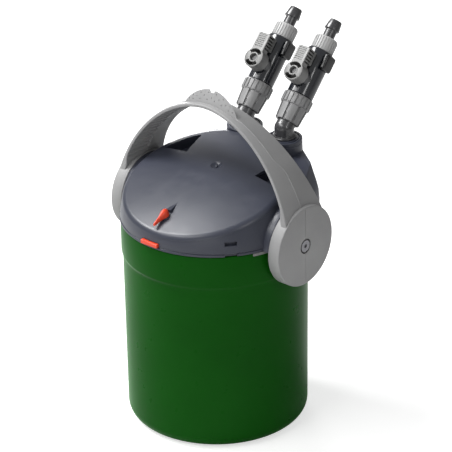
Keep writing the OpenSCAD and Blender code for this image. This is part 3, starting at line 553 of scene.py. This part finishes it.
def snap_slots(s):
    """A slot in the skirt, and the notch in the lip below it for a lock lug."""
    place = turn("Z", -SNAP_TURN if s > 0 else 180 + SNAP_TURN)
    return [block("snap_slot", (84, -SNAP_HALF, SEAM + 10.3), (FAR_OUT, SNAP_HALF, SEAM + 14.3), place),
            block("lip_notch", (86.4, -SNAP_HALF, SEAM - 1), (FAR_OUT, SNAP_HALF, SEAM + 2.4), place)]


def screw_post(degrees):
    """A post for a deck screw, and the rib that ties it to the wall."""
    top = SEAM + 10
    place = turn("Z", degrees)
    return [rod("post", POST_RADIUS, SEAL_TOP, top, place @ at(POST_AWAY, 0, 0), 32),
            block("post_rib", (POST_AWAY, -1.5, SEAL_TOP), (POST_AWAY + 5.4, 1.5, top), place)]


def catch_window():
    """The opening round the front catch."""
    left, right = span("front_catch", X)
    foot, top = span("front_catch", Z)
    return block("catch_window", (left - WINDOW_GAP, -FAR_OUT, foot - WINDOW_GAP),
                 (right + WINDOW_GAP, WINDOW_ROOT, top + WINDOW_GAP))


def lid_body():
    """The casing: skirt with bosses, shoulders and towers, hollow inside."""
    body = lid_wall()
    full = [side_boss(s) for s in SIDES] + [shoulder(s) for s in SIDES]
    raised, bores, slots = [], [], []
    for s in SIDES:
        pivot = outward(s) @ ALONG_X
        raised += [tower(s), rod("pivot_boss", PIVOT_BOSS, BOSS_FACE - 6.1, BOSS_FACE, pivot)]
        bores.append(rod("pivot_bore", PIVOT_BORE, 80, 100, pivot, 48))
        slots += snap_slots(s)
    slots.append(catch_window())
    bores.append(rod("gland_bore", GLAND_BORE, -4, 30, GLAND, 64))
    for degrees in POST_TURNS:
        raised += screw_post(degrees)
        post = turn("Z", degrees) @ at(POST_AWAY, 0, 0)
        bores.append(rod("post_bore", POST_BORE, SEAM, SEAM + 9, post, 24))
    raised.append(rod("gland_seat", GLAND_SEAT, 0, 9.4, GLAND, 64, 0.4))
    carved(body, ("+", full), ("-", lid_room()), ("+", raised), ("-", bores + slots))
    return dressed(body, ANTHRACITE, "pump_head", "lid_shell", angle=28.0)


lid_body()

# The sloping disc, in its own frame.
DOME_RISE = 7.0
DOME_RADIUS = 76.5
DOME_WALL = 3.0
ROLL_RADIUS = 7.0
ROLL_AWAY, ROLL_HEIGHT = 73.4, -6.55
POCKET_REACH = 71.4
POCKET_WALL = 1.5
POCKET_FLOOR = -10.0
DIMPLE = DISC @ at(0, 18, 0)
VENT_Y = -58.5
VENT = DISC @ at(0, VENT_Y, 0)
VENT_BOSS, VENT_BORE = 5.0, 2.05


def dome(r):
    return DOME_RISE * (1 - (r / DOME_RADIUS) ** 2)


def disc_outline():
    """The disc cut through its middle: dome, rolled rim, underside."""
    outline = [(3.5 * i, dome(3.5 * i)) for i in range(22)]
    outline += arc((ROLL_AWAY, ROLL_HEIGHT), ROLL_RADIUS, 80.5, 20.9, 16)
    outline += [(DISC_RADIUS, -4.3), (DISC_RADIUS - 0.5, -4.4), (ROLL_AWAY + 2, -4.0), (ROLL_AWAY, -2.6)]
    under = [ROLL_AWAY * i / 8 for i in range(7, -1, -1)]
    return outline + [(r, dome(r) - DOME_WALL) for r in under]


def pocket_plan(grow):
    """Plan of the hand pocket beside the grip: a wedge that ends in an arc inside the rim."""
    outer = arc((0, 0), POCKET_REACH + grow, 18, 47.6, 12)
    return [(41.5 - 2 * grow, 23.5 - grow)] + outer + [(47 - 2 * grow, 51 + grow)]


def vent_ridge():
    """The ridge behind the vent's boss, which narrows and falls away to the rear."""
    foot = dome(VENT_Y)
    ends = ((5.4, 3.6, -1), (5.4, 2.6, foot + 3.8), (16.8, 0.6, 1), (16.8, 0.5, foot + 2.0))
    return hulled("vent_ridge", [VENT @ Vector((half * s, y, h)) for y, half, h in ends for s in SIDES])


def lid_top():
    """The sloping disc: dome with a rolled rim, two pockets, dimple, vent boss and its ridge."""
    top = turned("lid_top", disc_outline(), DISC, 288)
    rooms, cuts = [], []
    for s in SIDES:
        mirror = DISC @ Matrix.Diagonal((s, 1, 1, 1))
        shell_floor = POCKET_FLOOR - POCKET_WALL
        rooms.append(prism("pocket_shell", pocket_plan(POCKET_WALL), shell_floor, -0.2, mirror))
        cuts.append(prism("pocket", pocket_plan(0.0), POCKET_FLOOR, 14, mirror))
        cuts.append(rod("tower_room", TOWER_RADIUS + 1.1, 200, 320, port(s), 144))
    boss = rod("vent_boss", VENT_BOSS, -1, 3.6, VENT, 64, 0.3)
    cuts.append(rod("vent_bore", VENT_BORE, -9, 12, VENT, 48))
    cuts.append(turned("dimple", [(0, 3.6), (0.9, 3.9), (1.5, 4.6), (1.8, 4.9), (2.6, 4.9), (4.3, 5.7),
                                  (5.5, 6.7), (5.6, 9), (0, 9)], DIMPLE, 64))
    stud = turned("dimple_stud", [(0, 3.2), (1.6, 3.2), (1.6, 5.0), (1.3, 5.7), (0.7, 6.1), (0, 6.2)],
                  DIMPLE, 48)
    carved(top, ("+", rooms + [boss, vent_ridge()]), ("-", cuts), ("+", [stud]))
    return dressed(top, ANTHRACITE, "pump_head", "lid_cover", angle=28.0)


lid_top()

# The tub.
TUB_FLOOR = 3.0
TUB_DRAFT = 1.3
COLLAR_FOOT = 164.0
COLLAR_RADIUS = 88.0
FOOT_AWAY = 73.2
FOOT_ROUND, FOOT_ROUND_INSIDE = 12.0, 9.4
PIVOT_NOTCH, NOTCH_ROOT = 7.4, 82.0


def tub_outline():
    """The tub cut through its middle: rounded foot, drafted wall, collar, then back down inside."""
    r, top = COLLAR_RADIUS, TUB_TOP
    step = COLLAR_FOOT
    wall_foot = FOOT_AWAY + FOOT_ROUND
    wall_inside = FOOT_AWAY + FOOT_ROUND_INSIDE
    round_top = TUB_FLOOR + FOOT_ROUND_INSIDE
    outline = [(0, 0)] + arc((FOOT_AWAY, FOOT_ROUND), FOOT_ROUND, -90, 0, 12)
    for i in range(1, 7):
        outline.append((wall_foot + TUB_DRAFT * i / 6, FOOT_ROUND + (step - FOOT_ROUND) * i / 6))
    outline += [(r - 1.45, step + 2.5), (r - 1.3, step + 4), (r - 0.9, step + 5.3), (r - 0.4, step + 6.3),
                (r - 0.1, step + 7.2), (r, step + 8.2)]
    outline += [(r + 0.2, top - 0.8), (r, top - 0.2), (r - 0.4, top), (r - 4, top), (r - 4, step + 7),
                (wall_inside, step - 4), (wall_inside, round_top)]
    return outline + arc((FOOT_AWAY, round_top), FOOT_ROUND_INSIDE, 0, -90, 8) + [(0, TUB_FLOOR)]


def tub():
    """The canister, with a notch for each pivot of the grip."""
    body = turned("tub", tub_outline(), steps=288)
    notches = []
    for s in SIDES:
        notches.append(rod("pivot_notch", PIVOT_NOTCH, NOTCH_ROOT, FAR_OUT, outward(s) @ ALONG_X, 96))
        low, high = (NOTCH_ROOT, -PIVOT_NOTCH, 0), (FAR_OUT, PIVOT_NOTCH, 8)
        notches.append(block("notch_top", low, high, outward(s)))
    carved(body, ("-", notches))
    return dressed(body, GREEN, "tub", "canister", angle=40.0)


tub()

# The vent's lever.
TAB_FOOT = 4.0
TAB_POINTS = 24
PIN_BORE, PIN_ROOM = 2.07, 5.3


def vent_tab():
    """The vent's red lever: a drop-shaped head that runs out into a thin tail."""
    place = VENT @ at(0, 0, TAB_FOOT)
    stations = [(4.3, 0.4, 3.0), (3.9, 1.8, 4.6), (2.8, 2.9, 5.9), (1.2, 3.7, 6.6), (-0.6, 3.9, 6.7),
                (-2.6, 3.5, 6.3), (-4.6, 2.7, 5.4), (-7.0, 2.0, 4.4), (-10.0, 1.6, 3.6), (-13.0, 1.3, 2.9),
                (-15.4, 1.15, 2.4), (-16.2, 0.9, 2.1), (-16.5, 0.5, 1.6)]
    rings = []
    for y, half, high in stations:
        ring = []
        for i in range(TAB_POINTS):
            a = 2 * math.pi * i / TAB_POINTS
            up = math.sin(a)
            x = half * math.cos(a) * (1 - 0.12 * max(0.0, up))
            ring.append(place @ Vector((x, y, high * up ** 0.8 if up > 0 else 0.3 * up)))
        rings.append(ring)
    tab = lofted("vent_tab", rings)
    carved(tab, ("-", [rod("pin_bore", PIN_BORE, -3, PIN_ROOM, place, 48)]))
    return dressed(tab, RED, "vent", "vent_lever", angle=50.0)


vent_tab()

# The filter pads: the intake pipe passes through both.
PIPE = at(mid_span("intake_pipe", X), mid_span("intake_pipe", Y), 0)
PIPE_ROOM = 10.7
PAD_CROWN = 1.2
PAD_DRAWN_IN = 0.9


def filter_pad(name, finish):
    """A round pad of foam or fleece: crowned, its sides drawn in between the edges."""
    left, right = span(name, X)
    low, high = span(name, Z)
    r = (right - left) / 2
    crown = min(PAD_CROWN, (high - low) * 0.05)
    top = high - crown
    roll = [(r - 2.4, 0), (r - 0.9, 0.5), (r - 0.3, 1.6)]
    side, roll_height = roll[-1]
    outline = [(0, low), (r * 0.6, low)] + [(x, low + h) for x, h in roll]
    for i in range(1, 8):
        drawn_in = PAD_DRAWN_IN * math.sin(math.pi * i / 8)
        outline.append((side - drawn_in, low + roll_height + (top - low - 2 * roll_height) * i / 8))
    outline += [(x, top - h) for x, h in reversed(roll)]
    outline += [(r * 0.8, high - crown * 0.5), (r * 0.5, high - crown * 0.1), (0, high)]
    pad = turned(name.replace("_pad", "_mat"), outline, steps=192)
    carved(pad, ("-", [rod("pipe_room", PIPE_ROOM, low - 5, high + 5, PIPE, 64)]))
    dressed(pad, finish, "tub", name, angle=50.0)
    return pad


filter_pad("coarse_pad", FOAM_BLUE)
filter_pad("fine_pad", FLEECE)

# The carrying grip: an arch that widens to its hubs, with a fin on top and ribs underneath.
ARCH_HALF, ARCH_HEIGHT = 106.0, 119.5
ARCH_ROUNDNESS = 1.85
GRIP_FRONT, GRIP_REAR = -12.5, 13.7
GRIP_FLARE, REAR_FLARE = 14.5, 2.6
FLARE_FOOT, FLARE_REACH = 20.0, 101.5
GRIP_THICK = 6.5
FLANGE_BEND, FLANGE_THICK = 6.0, 5.0
FIN_TIP = 35.0
FIN_ROOT = 31.5
FIN_HEIGHT = 11.7
FIN_FOOT, FIN_GROOVE = -6.2, 1.2
FIN_NOTCH = 0.2
CREASE_Y, CREASE_SHIFT, CREASE_LIP = -5.0, 5.5, 0.4
PIT_RADIUS = 0.75
PIT_STEP = 4.2
RIBS, STEPS_PER_RIB = 60, 8
RIB_FLOOR = 2.0
RIB_REACH, RIB_FADE = 72.0, 8.0
HUB_BACK, HUB_FACE = 89.6, span("handle", X)[1]
HUB_RADIUS, HUB_BORE, HEAD_ROOM = 39.0, 4.55, 7.3
LINE_HALF = HUB_RADIUS - 2


def arch_point(d, t):
    """A point of the grip's arch, d inside its outer line, at the turn t from +X."""
    c, s = math.cos(t), math.sin(t)
    p = 2 / ARCH_ROUNDNESS
    return (ARCH_HALF - d) * math.copysign(abs(c) ** p, c), (ARCH_HEIGHT - d) * abs(s) ** p


def fin_section(x, t, crease):
    """Of the fin at x: its foot, the groove before it, its crest, height and back."""
    along = min(1.0, abs(x) / FIN_TIP)
    rise = max(0.0, 1 - (x / FIN_ROOT) ** 2) ** 0.9
    notch = FIN_NOTCH * (between(-3.6, -2.4, x) - between(0.8, 2.4, x))
    height = max(FIN_HEIGHT * rise * (1 - notch) / max(0.1, math.sin(t)), CREASE_LIP)
    foot = FIN_FOOT + (crease + 5.6) * along ** 2.6
    groove = FIN_GROOVE * between(FIN_TIP + 1, FIN_TIP - 6, abs(x))
    crest = crease
    if along < 1:
        crest = (crease + 1.5 * between(FIN_TIP - 2, FIN_TIP, abs(x)) - 1.5) * along ** 2
    back = max(crest + 0.6 + 1.8 * rise, crease + 0.6)
    crest -= (crest - foot) * notch
    return foot, groove, crest, height, back


def grip_corners(t):
    """The grip across: front edge, fin or crease, bent rear flange, ribbed underside."""
    x, h = arch_point(0, t)
    low = 1 - min(1.0, max(0.0, (h - FLARE_FOOT) / FLARE_REACH))
    flare = GRIP_FLARE * low ** 1.15
    front = GRIP_FRONT - flare
    rear = GRIP_REAR + flare + REAR_FLARE * low
    bend = FLANGE_BEND * (0.3 + 0.7 * math.sin(t))
    crease = CREASE_Y + CREASE_SHIFT * between(85, 70, h)
    slope = bend / (rear - crease)
    foot, groove, crest, height, back = fin_section(x, t, crease)
    wave = (t * RIBS / math.pi) % 1.0
    ribbed = between(RIB_REACH, RIB_REACH - RIB_FADE, abs(math.degrees(t) - 90))
    deep = ribbed * between(-0.3, 0.2, math.sin(2 * math.pi * wave))
    lip = GRIP_THICK - 3.3 * ribbed
    tip_front = GRIP_THICK - 2.9 * ribbed
    tip_rear = GRIP_THICK + 0.25 * bend * ribbed
    rib_front = tip_front + (RIB_FLOOR - tip_front) * deep
    rib_rear = tip_rear + (RIB_FLOOR - tip_rear) * deep
    return [(front, 0, 1.4), (foot - 1.5, 0, 0.2), (foot - 0.6, groove, 0.2), (foot, 0, 0.1),
            (crest, -height, 0.45), (back, slope * (back - crease), 0.3),
            (rear, bend, 0.9), (rear, bend + FLANGE_THICK, 0.9), (3.6, tip_rear, 0.4), (3.0, rib_rear, 0.2),
            (front + 1.8, rib_front, 0.2), (front + 1.2, lip, 0.1), (front, lip, 0.7)]


def fin_pits():
    """Small round pits, in rows, over the fin's front face."""
    centres = []
    for i in range(-6, 7):
        x = PIT_STEP * i
        t = math.acos(math.copysign((abs(x) / ARCH_HALF) ** (ARCH_ROUNDNESS / 2), x))
        (foot, low, _), (crest, top, _) = grip_corners(t)[3:5]
        for k in ((0.25, 0.75) if i % 2 else (0.5,)):
            along, up = arch_point(low + (top - low) * k, t)
            centres.append(GRIP @ Vector((along, foot + (crest - foot) * k, up)))
    return beads("fin_pits", centres, PIT_RADIUS)


def hub(side):
    """A round hub, its axis along the side's Z."""
    r, back, face = HUB_RADIUS, HUB_BACK, HUB_FACE
    outline = [(0, back), (r - 0.8, back), (r - 0.3, back + 0.2), (r, back + 0.7), (r, face - 1.2),
               (r - 0.2, face - 0.6), (r - 0.7, face - 0.2), (r - 1.4, face), (0, face)]
    return turned("hub", outline, side, 224)


def carry_grip():
    """The arch with a hub on each side, bored for the pivot screws."""
    limit = HUB_FACE - 0.9
    steps = STEPS_PER_RIB * RIBS
    rings = []
    for i in range(steps + 1):
        t = math.pi * i / steps
        ring = []
        for y, d in rounded(grip_corners(t)):
            x, h = arch_point(d, t)
            ring.append(GRIP @ Vector((max(-limit, min(limit, x)), y, h)))
        rings.append(ring)
    grip = lofted("grip", rings)
    sides = [outward(s) @ ALONG_X for s in SIDES]
    cuts = []
    for side in sides:
        cuts.append(rod("pivot_bore", HUB_BORE, 80, 110, side, 64))
        cuts.append(rod("head_room", HEAD_ROOM, HUB_FACE - 3.2, 110, side, 64))
        low, high = (-LINE_HALF, -0.2, HUB_FACE - 0.3), (LINE_HALF, 0.2, HUB_FACE + 2)
        cuts.append(block("parting_line", low, high, side))
    carved(grip, ("+", [hub(side) for side in sides]), ("-", cuts + [fin_pits()]))
    return dressed(grip, GRIP_GREY, "carry_handle", "handle")


carry_grip()

# The two taps: heights run up the leaning axis from the pipe's bend, the knob looks to -Y.
BEND_HEIGHT = 272.4
TAP_LEAN = 43.5
WATERWAY = 4.4
PIPE_RADIUS, PIPE_FIT, SEAL_GROOVE = 9.2, 9.35, 7.4
RUN_RADIUS, RUN_FLANGE = 9.05, 11.0
RUN_STEP, RUN_TOP = 13.7, 16.1
NUT_FOOT, NUT_STEP, NUT_TOP = 5.7, 22.0, 32.7
NUT_RADIUS, NUT_THREAD, NUT_BORE = 14.6, 11.32, 9.6
NUT_SHELF = 13.3
NUT_TEETH, NUT_SLOTS, RING_TEETH = 20, 8, 26
BODY_FOOT, BODY_TOP = 17.1, 80.2
BODY_RADIUS, NECK_RADIUS = 12.8, 11.25
SPIGOT_RADIUS, SPIGOT_BORE = 8.3, 7.45
PLUG_BORE = 7.45
RING_FOOT, RING_TOP = 80.6, 94.1
RING_RADIUS, RING_BORE = 11.25, 8.35
HOSE_END = 112.6
HOSE_NECK, HOSE_BARB = 5.7, 7.35
KNOB_HEIGHT = 48.7
KNOB_FOOT, KNOB_FACE = 15.0, 27.2
KNOB_RADIUS, KNOB_HOLE, STEM_BORE = 10.0, 3.6, 4.05
ARC_INNER, ARC_OUTER, ARC_HALF = 5.0, 8.6, 54.0
FACE_GROOVES, FACE_GROOVE_STEP = 7, 1.95
SIDE_SLOTS, SIDE_SLOT_STEP = 5, 2.9
LEVER_HALF, LEVER_REAR, LEVER_TOP = 6.75, -18.6, 25.5
CATCH_FRONT, CATCH_REAR = -9.2, 5.6
CATCH_FOOT, CATCH_TOP = 62.7, 78.2
CATCH_ROUND, CATCH_SEAT = 2.2, 10.9


def union_nut(side, tap):
    """The nut over the bent pipe: toothed above, a slotted cone below."""
    r, foot, step, top = NUT_RADIUS, NUT_FOOT, NUT_STEP, NUT_TOP
    nut = toothed("union_" + side, [
        (NUT_BORE, foot, 0), (r - 3.1, foot, 0), (r - 2.6, foot + 0.5, 0), (r - 1.4, step - 0.3, 0),
        (r - 0.8, step, 0), (r - 0.1, step + 0.7, 0.9), (r, step + 1.2, 0.9), (r, top - 1.2, 0.9),
        (r - 0.6, top - 0.3, 0.5), (r - 1.0, top, 0), (NUT_THREAD, top, 0), (NUT_THREAD, NUT_SHELF, 0),
        (NUT_BORE, NUT_SHELF, 0)], teeth=NUT_TEETH, share=0.62, place=tap)
    slots = []
    for i in range(NUT_SLOTS):
        spoke = tap @ turn("Z", 360 / NUT_SLOTS * i + 12)
        slots.append(block("slot", (11.45, -1.25, foot - 1), (16, 1.25, step - 0.2), spoke))
        slots.append(block("deep_slot", (10.4, -1.15, foot - 1.2), (16, 1.15, NUT_SHELF - 0.7), spoke))
    carved(nut, ("-", slots))
    return dressed(nut, NUT_GREY, "union_" + side, "union_nut_" + side)


def valve(side, tap):
    """The tap's body: barrel, boss for the knob, recess for the release catch."""
    r, neck, top = BODY_RADIUS, NECK_RADIUS, BODY_TOP
    body = turned("valve_" + side, [
        (WATERWAY, BODY_FOOT), (neck - 0.35, BODY_FOOT), (neck, BODY_FOOT + 0.4), (neck, NUT_TOP + 0.5),
        (r - 0.4, NUT_TOP + 0.6), (r, NUT_TOP + 1.0), (r, top - 1.2), (r - 0.4, top - 0.4), (r - 1.2, top),
        (SPIGOT_RADIUS, top), (SPIGOT_RADIUS, top + 8), (SPIGOT_BORE, top + 8), (SPIGOT_BORE, top + 1),
        (WATERWAY, top + 1)], tap)
    knob_axis = tap @ at(0, 0, KNOB_HEIGHT) @ turn("X", 90)
    boss = turned("boss", [(0, 3), (10.4, 3), (9.6, 9), (9.2, 12.5), (9.2, 14.1), (8.9, 14.4), (0, 14.4)],
                  knob_axis)
    plan = rounded_plate(CATCH_FRONT - 0.4, CATCH_REAR + 0.4, CATCH_FOOT - 0.5, CATCH_TOP + 0.5,
                         CATCH_ROUND + 0.2, 6)
    room = lofted("catch_room", [[tap @ Vector((x, y, z)) for y, z in plan] for x in (CATCH_SEAT, 20)])
    pocket = block("pocket", (8.6, -4.05, CATCH_FOOT + 1.2), (20, 4.05, CATCH_TOP - 1.2), tap)
    plug_bore = rod("plug_bore", PLUG_BORE, -7.4, 20, knob_axis, 96)
    waterway = rod("waterway", WATERWAY, BODY_FOOT - 5, top + 20, tap, 64)
    carved(body, ("+", [boss]), ("-", [room, pocket, plug_bore, waterway]))
    return dressed(body, BLUE_BLACK, "pump_head", "tap_body_" + side)


def release_catch(side, tap):
    """A crowned button with a shank in the pocket."""
    rings = []
    for x, inset in ((12.9, 0.3), (13.2, 0.0), (15.4, 0.0), (16.3, 0.5), (16.8, 1.3), (17.0, 2.4)):
        plan = rounded_plate(CATCH_FRONT + inset, CATCH_REAR - inset, CATCH_FOOT + inset, CATCH_TOP - inset,
                             CATCH_ROUND, 6)
        rings.append([tap @ Vector((x, y, z)) for y, z in plan])
    button = lofted("release_" + side, rings)
    shank = block("shank", (10.8, -3.75, CATCH_FOOT + 1.5), (14, 3.75, CATCH_TOP - 1.5), tap)
    carved(button, ("+", [shank]))
    return dressed(button, BLACK, "release_" + side, "release_catch_" + side)


def knob_cuts(foot, axis):
    """Grooves in the lever's face, slots in its sides, two arc pockets, the hole and the stem's bore."""
    pocket_floor = -16.5
    cuts = []
    for i in range(FACE_GROOVES):
        z = 11.2 + FACE_GROOVE_STEP * i
        cuts.append(block("face_groove", (-5.0, -KNOB_FACE - 1, z), (3.6, -KNOB_FACE + 0.7, z + 0.9), foot))
    for i in range(SIDE_SLOTS):
        z = 10.6 + SIDE_SLOT_STEP * i
        for s in SIDES:
            x0, x1 = sorted((2.6 * s, 9 * s))
            cuts.append(block("side_slot", (x0, -KNOB_FACE + 0.9, z), (x1, pocket_floor, z + 1.6), foot))
    for facing in (90, -90):
        start, end = facing + ARC_HALF, facing - ARC_HALF
        plan = arc((0, 0), ARC_INNER, start, end, 12) + arc((0, 0), ARC_OUTER, end, start, 12)
        ends = (-KNOB_FACE - 2, pocket_floor)
        cuts.append(lofted("arc_pocket", [[foot @ Vector((x, y, z)) for x, z in plan] for y in ends]))
    cuts.append(rod("hole", KNOB_HOLE, 20, 30, axis, 64))
    cuts.append(rod("stem_bore", STEM_BORE, 10, 23.2, axis, 64))
    return cuts


def knob(side, tap):
    """The tap's knob with its ringed hole, two arc pockets and a ribbed lever."""
    foot = tap @ at(0, 0, KNOB_HEIGHT)
    axis = foot @ turn("X", 90)
    r, hole, face = KNOB_RADIUS, KNOB_HOLE, KNOB_FACE
    grip = turned("knob_" + side, [
        (0, KNOB_FOOT), (r - 0.5, KNOB_FOOT), (r - 0.1, KNOB_FOOT + 0.4), (r, face - 0.8),
        (r - 0.2, face - 0.2), (r - 0.6, face), (hole + 1.2, face), (hole + 1.0, face + 0.3),
        (hole + 0.3, face + 0.3), (hole, face), (0, face)], axis, 128)
    rings = []
    for z, inset in ((0, 0), (LEVER_TOP - 1.2, 0), (LEVER_TOP - 0.4, 0.35), (LEVER_TOP, 1.0)):
        half = LEVER_HALF - inset
        plan = rounded_plate(-half, half, -face + inset, LEVER_REAR - inset, 0.8)
        rings.append([foot @ Vector((x, y, z)) for x, y in plan])
    lever = lofted("lever", rings)
    web = block("web", (-6.2, -20, 11.6), (6.2, -13.4, 25.0), foot)
    carved(grip, ("+", [lever, web]), ("-", knob_cuts(foot, axis)))
    return dressed(grip, PALE_GREY, "tap_" + side, "tap_lever_" + side)


def hose_ring(side, tap):
    """The finely ribbed nut that holds the hose."""
    r, foot, top = RING_RADIUS, RING_FOOT, RING_TOP
    ring = toothed("hose_ring_" + side, [
        (RING_BORE, foot, 0), (r - 0.65, foot, 0), (r - 0.05, foot + 0.5, 0.5), (r, foot + 1.2, 0.7),
        (r, top - 2.2, 0.7), (r - 0.35, top - 1.2, 0.4), (r - 1.35, top, 0), (RING_BORE, top, 0)],
        teeth=RING_TEETH, share=0.55, place=tap)
    return dressed(ring, RING_GREY, "hose_ring_" + side, "hose_nut_" + side)


def hose_end(side, tap):
    """The pipe that the hose is pushed on, with one barb at its end."""
    neck, barb, end = HOSE_NECK, HOSE_BARB, HOSE_END
    seat = BODY_TOP + 1.05
    piece = turned("hose_end_" + side, [
        (WATERWAY, seat), (barb, seat), (barb, BODY_TOP + 7), (neck, BODY_TOP + 9), (neck, end - 10.4),
        (neck + 0.3, end - 10.0), (barb - 0.25, end - 9.9), (barb, end - 9.6), (barb, end - 8.8),
        (neck + 0.6, end - 0.8), (neck + 0.2, end - 0.1), (neck - 0.3, end), (neck - 1.0, end - 0.1),
        (WATERWAY, end - 0.4)], tap)
    return dressed(piece, DARK_GREY, "pump_head", "hose_barb_" + side, angle=24.0)


def elbow(side, tap, foot):
    """A bent pipe: ring on the tower, upright run, knuckle, leaning run with its flange."""
    r, fit, flange, top = PIPE_RADIUS, PIPE_FIT, PIPE_FLANGE, TOWER_TOP
    pipe = turned("bent_pipe_" + side, [
        (WATERWAY, top - 20), (fit, top - 20), (fit, top - 15.4), (SEAL_GROOVE, top - 15.4),
        (SEAL_GROOVE, top - 12.6), (fit, top - 12.6), (fit, top + 0.2), (flange, top + 0.2),
        (flange, top + 1.6), (flange - 0.5, top + 2.2), (r + 0.4, top + 2.4), (r, top + 3), (r, BEND_HEIGHT),
        (WATERWAY, BEND_HEIGHT)], foot, 128)
    knuckle = turned("knuckle", arc((0, 0), r, -90, 90, 30), tap, 128)
    run = turned("run", [(0, 0), (RUN_RADIUS, 0), (RUN_RADIUS, RUN_STEP), (RUN_FLANGE, RUN_STEP),
                         (RUN_FLANGE, RUN_TOP), (0, RUN_TOP)], tap, 128)
    mark = rod("mark", 1.7, 8.6, 9.6, foot @ at(0, 0, top + 4.6) @ turn("Z", 250) @ ALONG_X, 32, 0.3)
    ways = [rod("waterway", WATERWAY, -1, 30, tap, 64), rod("waterway", WATERWAY, 230, BEND_HEIGHT, foot, 64),
            turned("bend", arc((0, 0), WATERWAY, -90, 90, 18), tap, 64)]
    carved(pipe, ("+", [knuckle, run, mark]), ("-", ways))
    return dressed(pipe, DARK_GREY, "pump_head", "elbow_" + side)


for s, side in zip(SIDES, ("left", "right")):
    foot = port(s)
    tap = foot @ at(0, 0, BEND_HEIGHT) @ turn("X", -TAP_LEAN)
    union_nut(side, tap)
    valve(side, tap)
    release_catch(side, tap)
    knob(side, tap)
    hose_ring(side, tap)
    hose_end(side, tap)
    elbow(side, tap, foot)

# Light and ground, in metres.
LIGHT_AIM = Vector((0, 0, 0.2))
FLOOR_REACH = 12.0
FLOOR_LEVEL = -0.0004
FLOOR_GLOW = 0.6
SKY_LIGHT = 0.22
SKY_IN_GLOSS = 0.2


def softbox(name, place, size, power):
    data = bpy.data.lights.new(name, "AREA")
    data.shape = "RECTANGLE"
    data.size, data.size_y = size
    data.energy = power
    lamp = bpy.data.objects.new(name, data)
    lamp.location = place
    lamp.rotation_euler = (Vector(place) - LIGHT_AIM).to_track_quat("Z", "Y").to_euler()
    bpy.context.scene.collection.objects.link(lamp)


softbox("key_above_left", place=(-1.2, -0.4, 2.0), size=(0.9, 1.1), power=56.0)
softbox("front_wide", place=(-0.4, -1.4, 1.75), size=(1.5, 0.7), power=20.0)
softbox("strip_left", place=(-1.5, 1.3, 0.4), size=(0.7, 0.7), power=16.0)
softbox("strip_right", place=(1.9, -0.45, 1.3), size=(0.26, 1.0), power=4.6)
softbox("low_front", place=(1.05, -1.9, 0.34), size=(1.3, 0.24), power=4.0)


def studio_floor():
    """White paper that glows a little for the camera only and keeps the part's shadow."""
    mesh = bpy.data.meshes.new("studio_floor")
    ways = ((-1, -1), (1, -1), (1, 1), (-1, 1))
    corners = [(x * FLOOR_REACH, y * FLOOR_REACH, FLOOR_LEVEL) for x, y in ways]
    mesh.from_pydata(corners, [], [(0, 1, 2, 3)])
    floor = bpy.data.objects.new("studio_floor", mesh)
    bpy.context.scene.collection.objects.link(floor)
    paper = Finish("white_paper", Roughness=0.9, Specular_IOR_Level=0.1, Emission_Strength=FLOOR_GLOW)
    fibre = paper.mix(paper.noise(60.0, 4.0), grey(0.71), grey(0.75))
    seen = paper.add("ShaderNodeLightPath", out="Is Camera Ray")
    glow = paper.mix(seen, grey(0.0), grey(1.0))
    mesh.materials.append(paper.surface(Base_Color=fibre, Emission_Color=glow))


def studio_world():
    """An even sky: white for the camera, dim for the part, a little brighter in gloss."""
    world = bpy.data.worlds.new("studio_world")
    bpy.context.scene.world = world
    world.use_nodes = True
    sky = Shading(world.node_tree)
    seen = sky.add("ShaderNodeLightPath", out="Is Camera Ray")
    mirrored = sky.add("ShaderNodeLightPath", out="Is Glossy Ray")
    background = sky.tree.nodes["Background"]
    sky.feed(background.inputs["Color"], grey(1.0))
    strength = sky.stretch(mirrored * SKY_IN_GLOSS + seen, 0.0, 1.0, SKY_LIGHT, 1.0)
    sky.feed(background.inputs["Strength"], strength)


studio_floor()
studio_world()
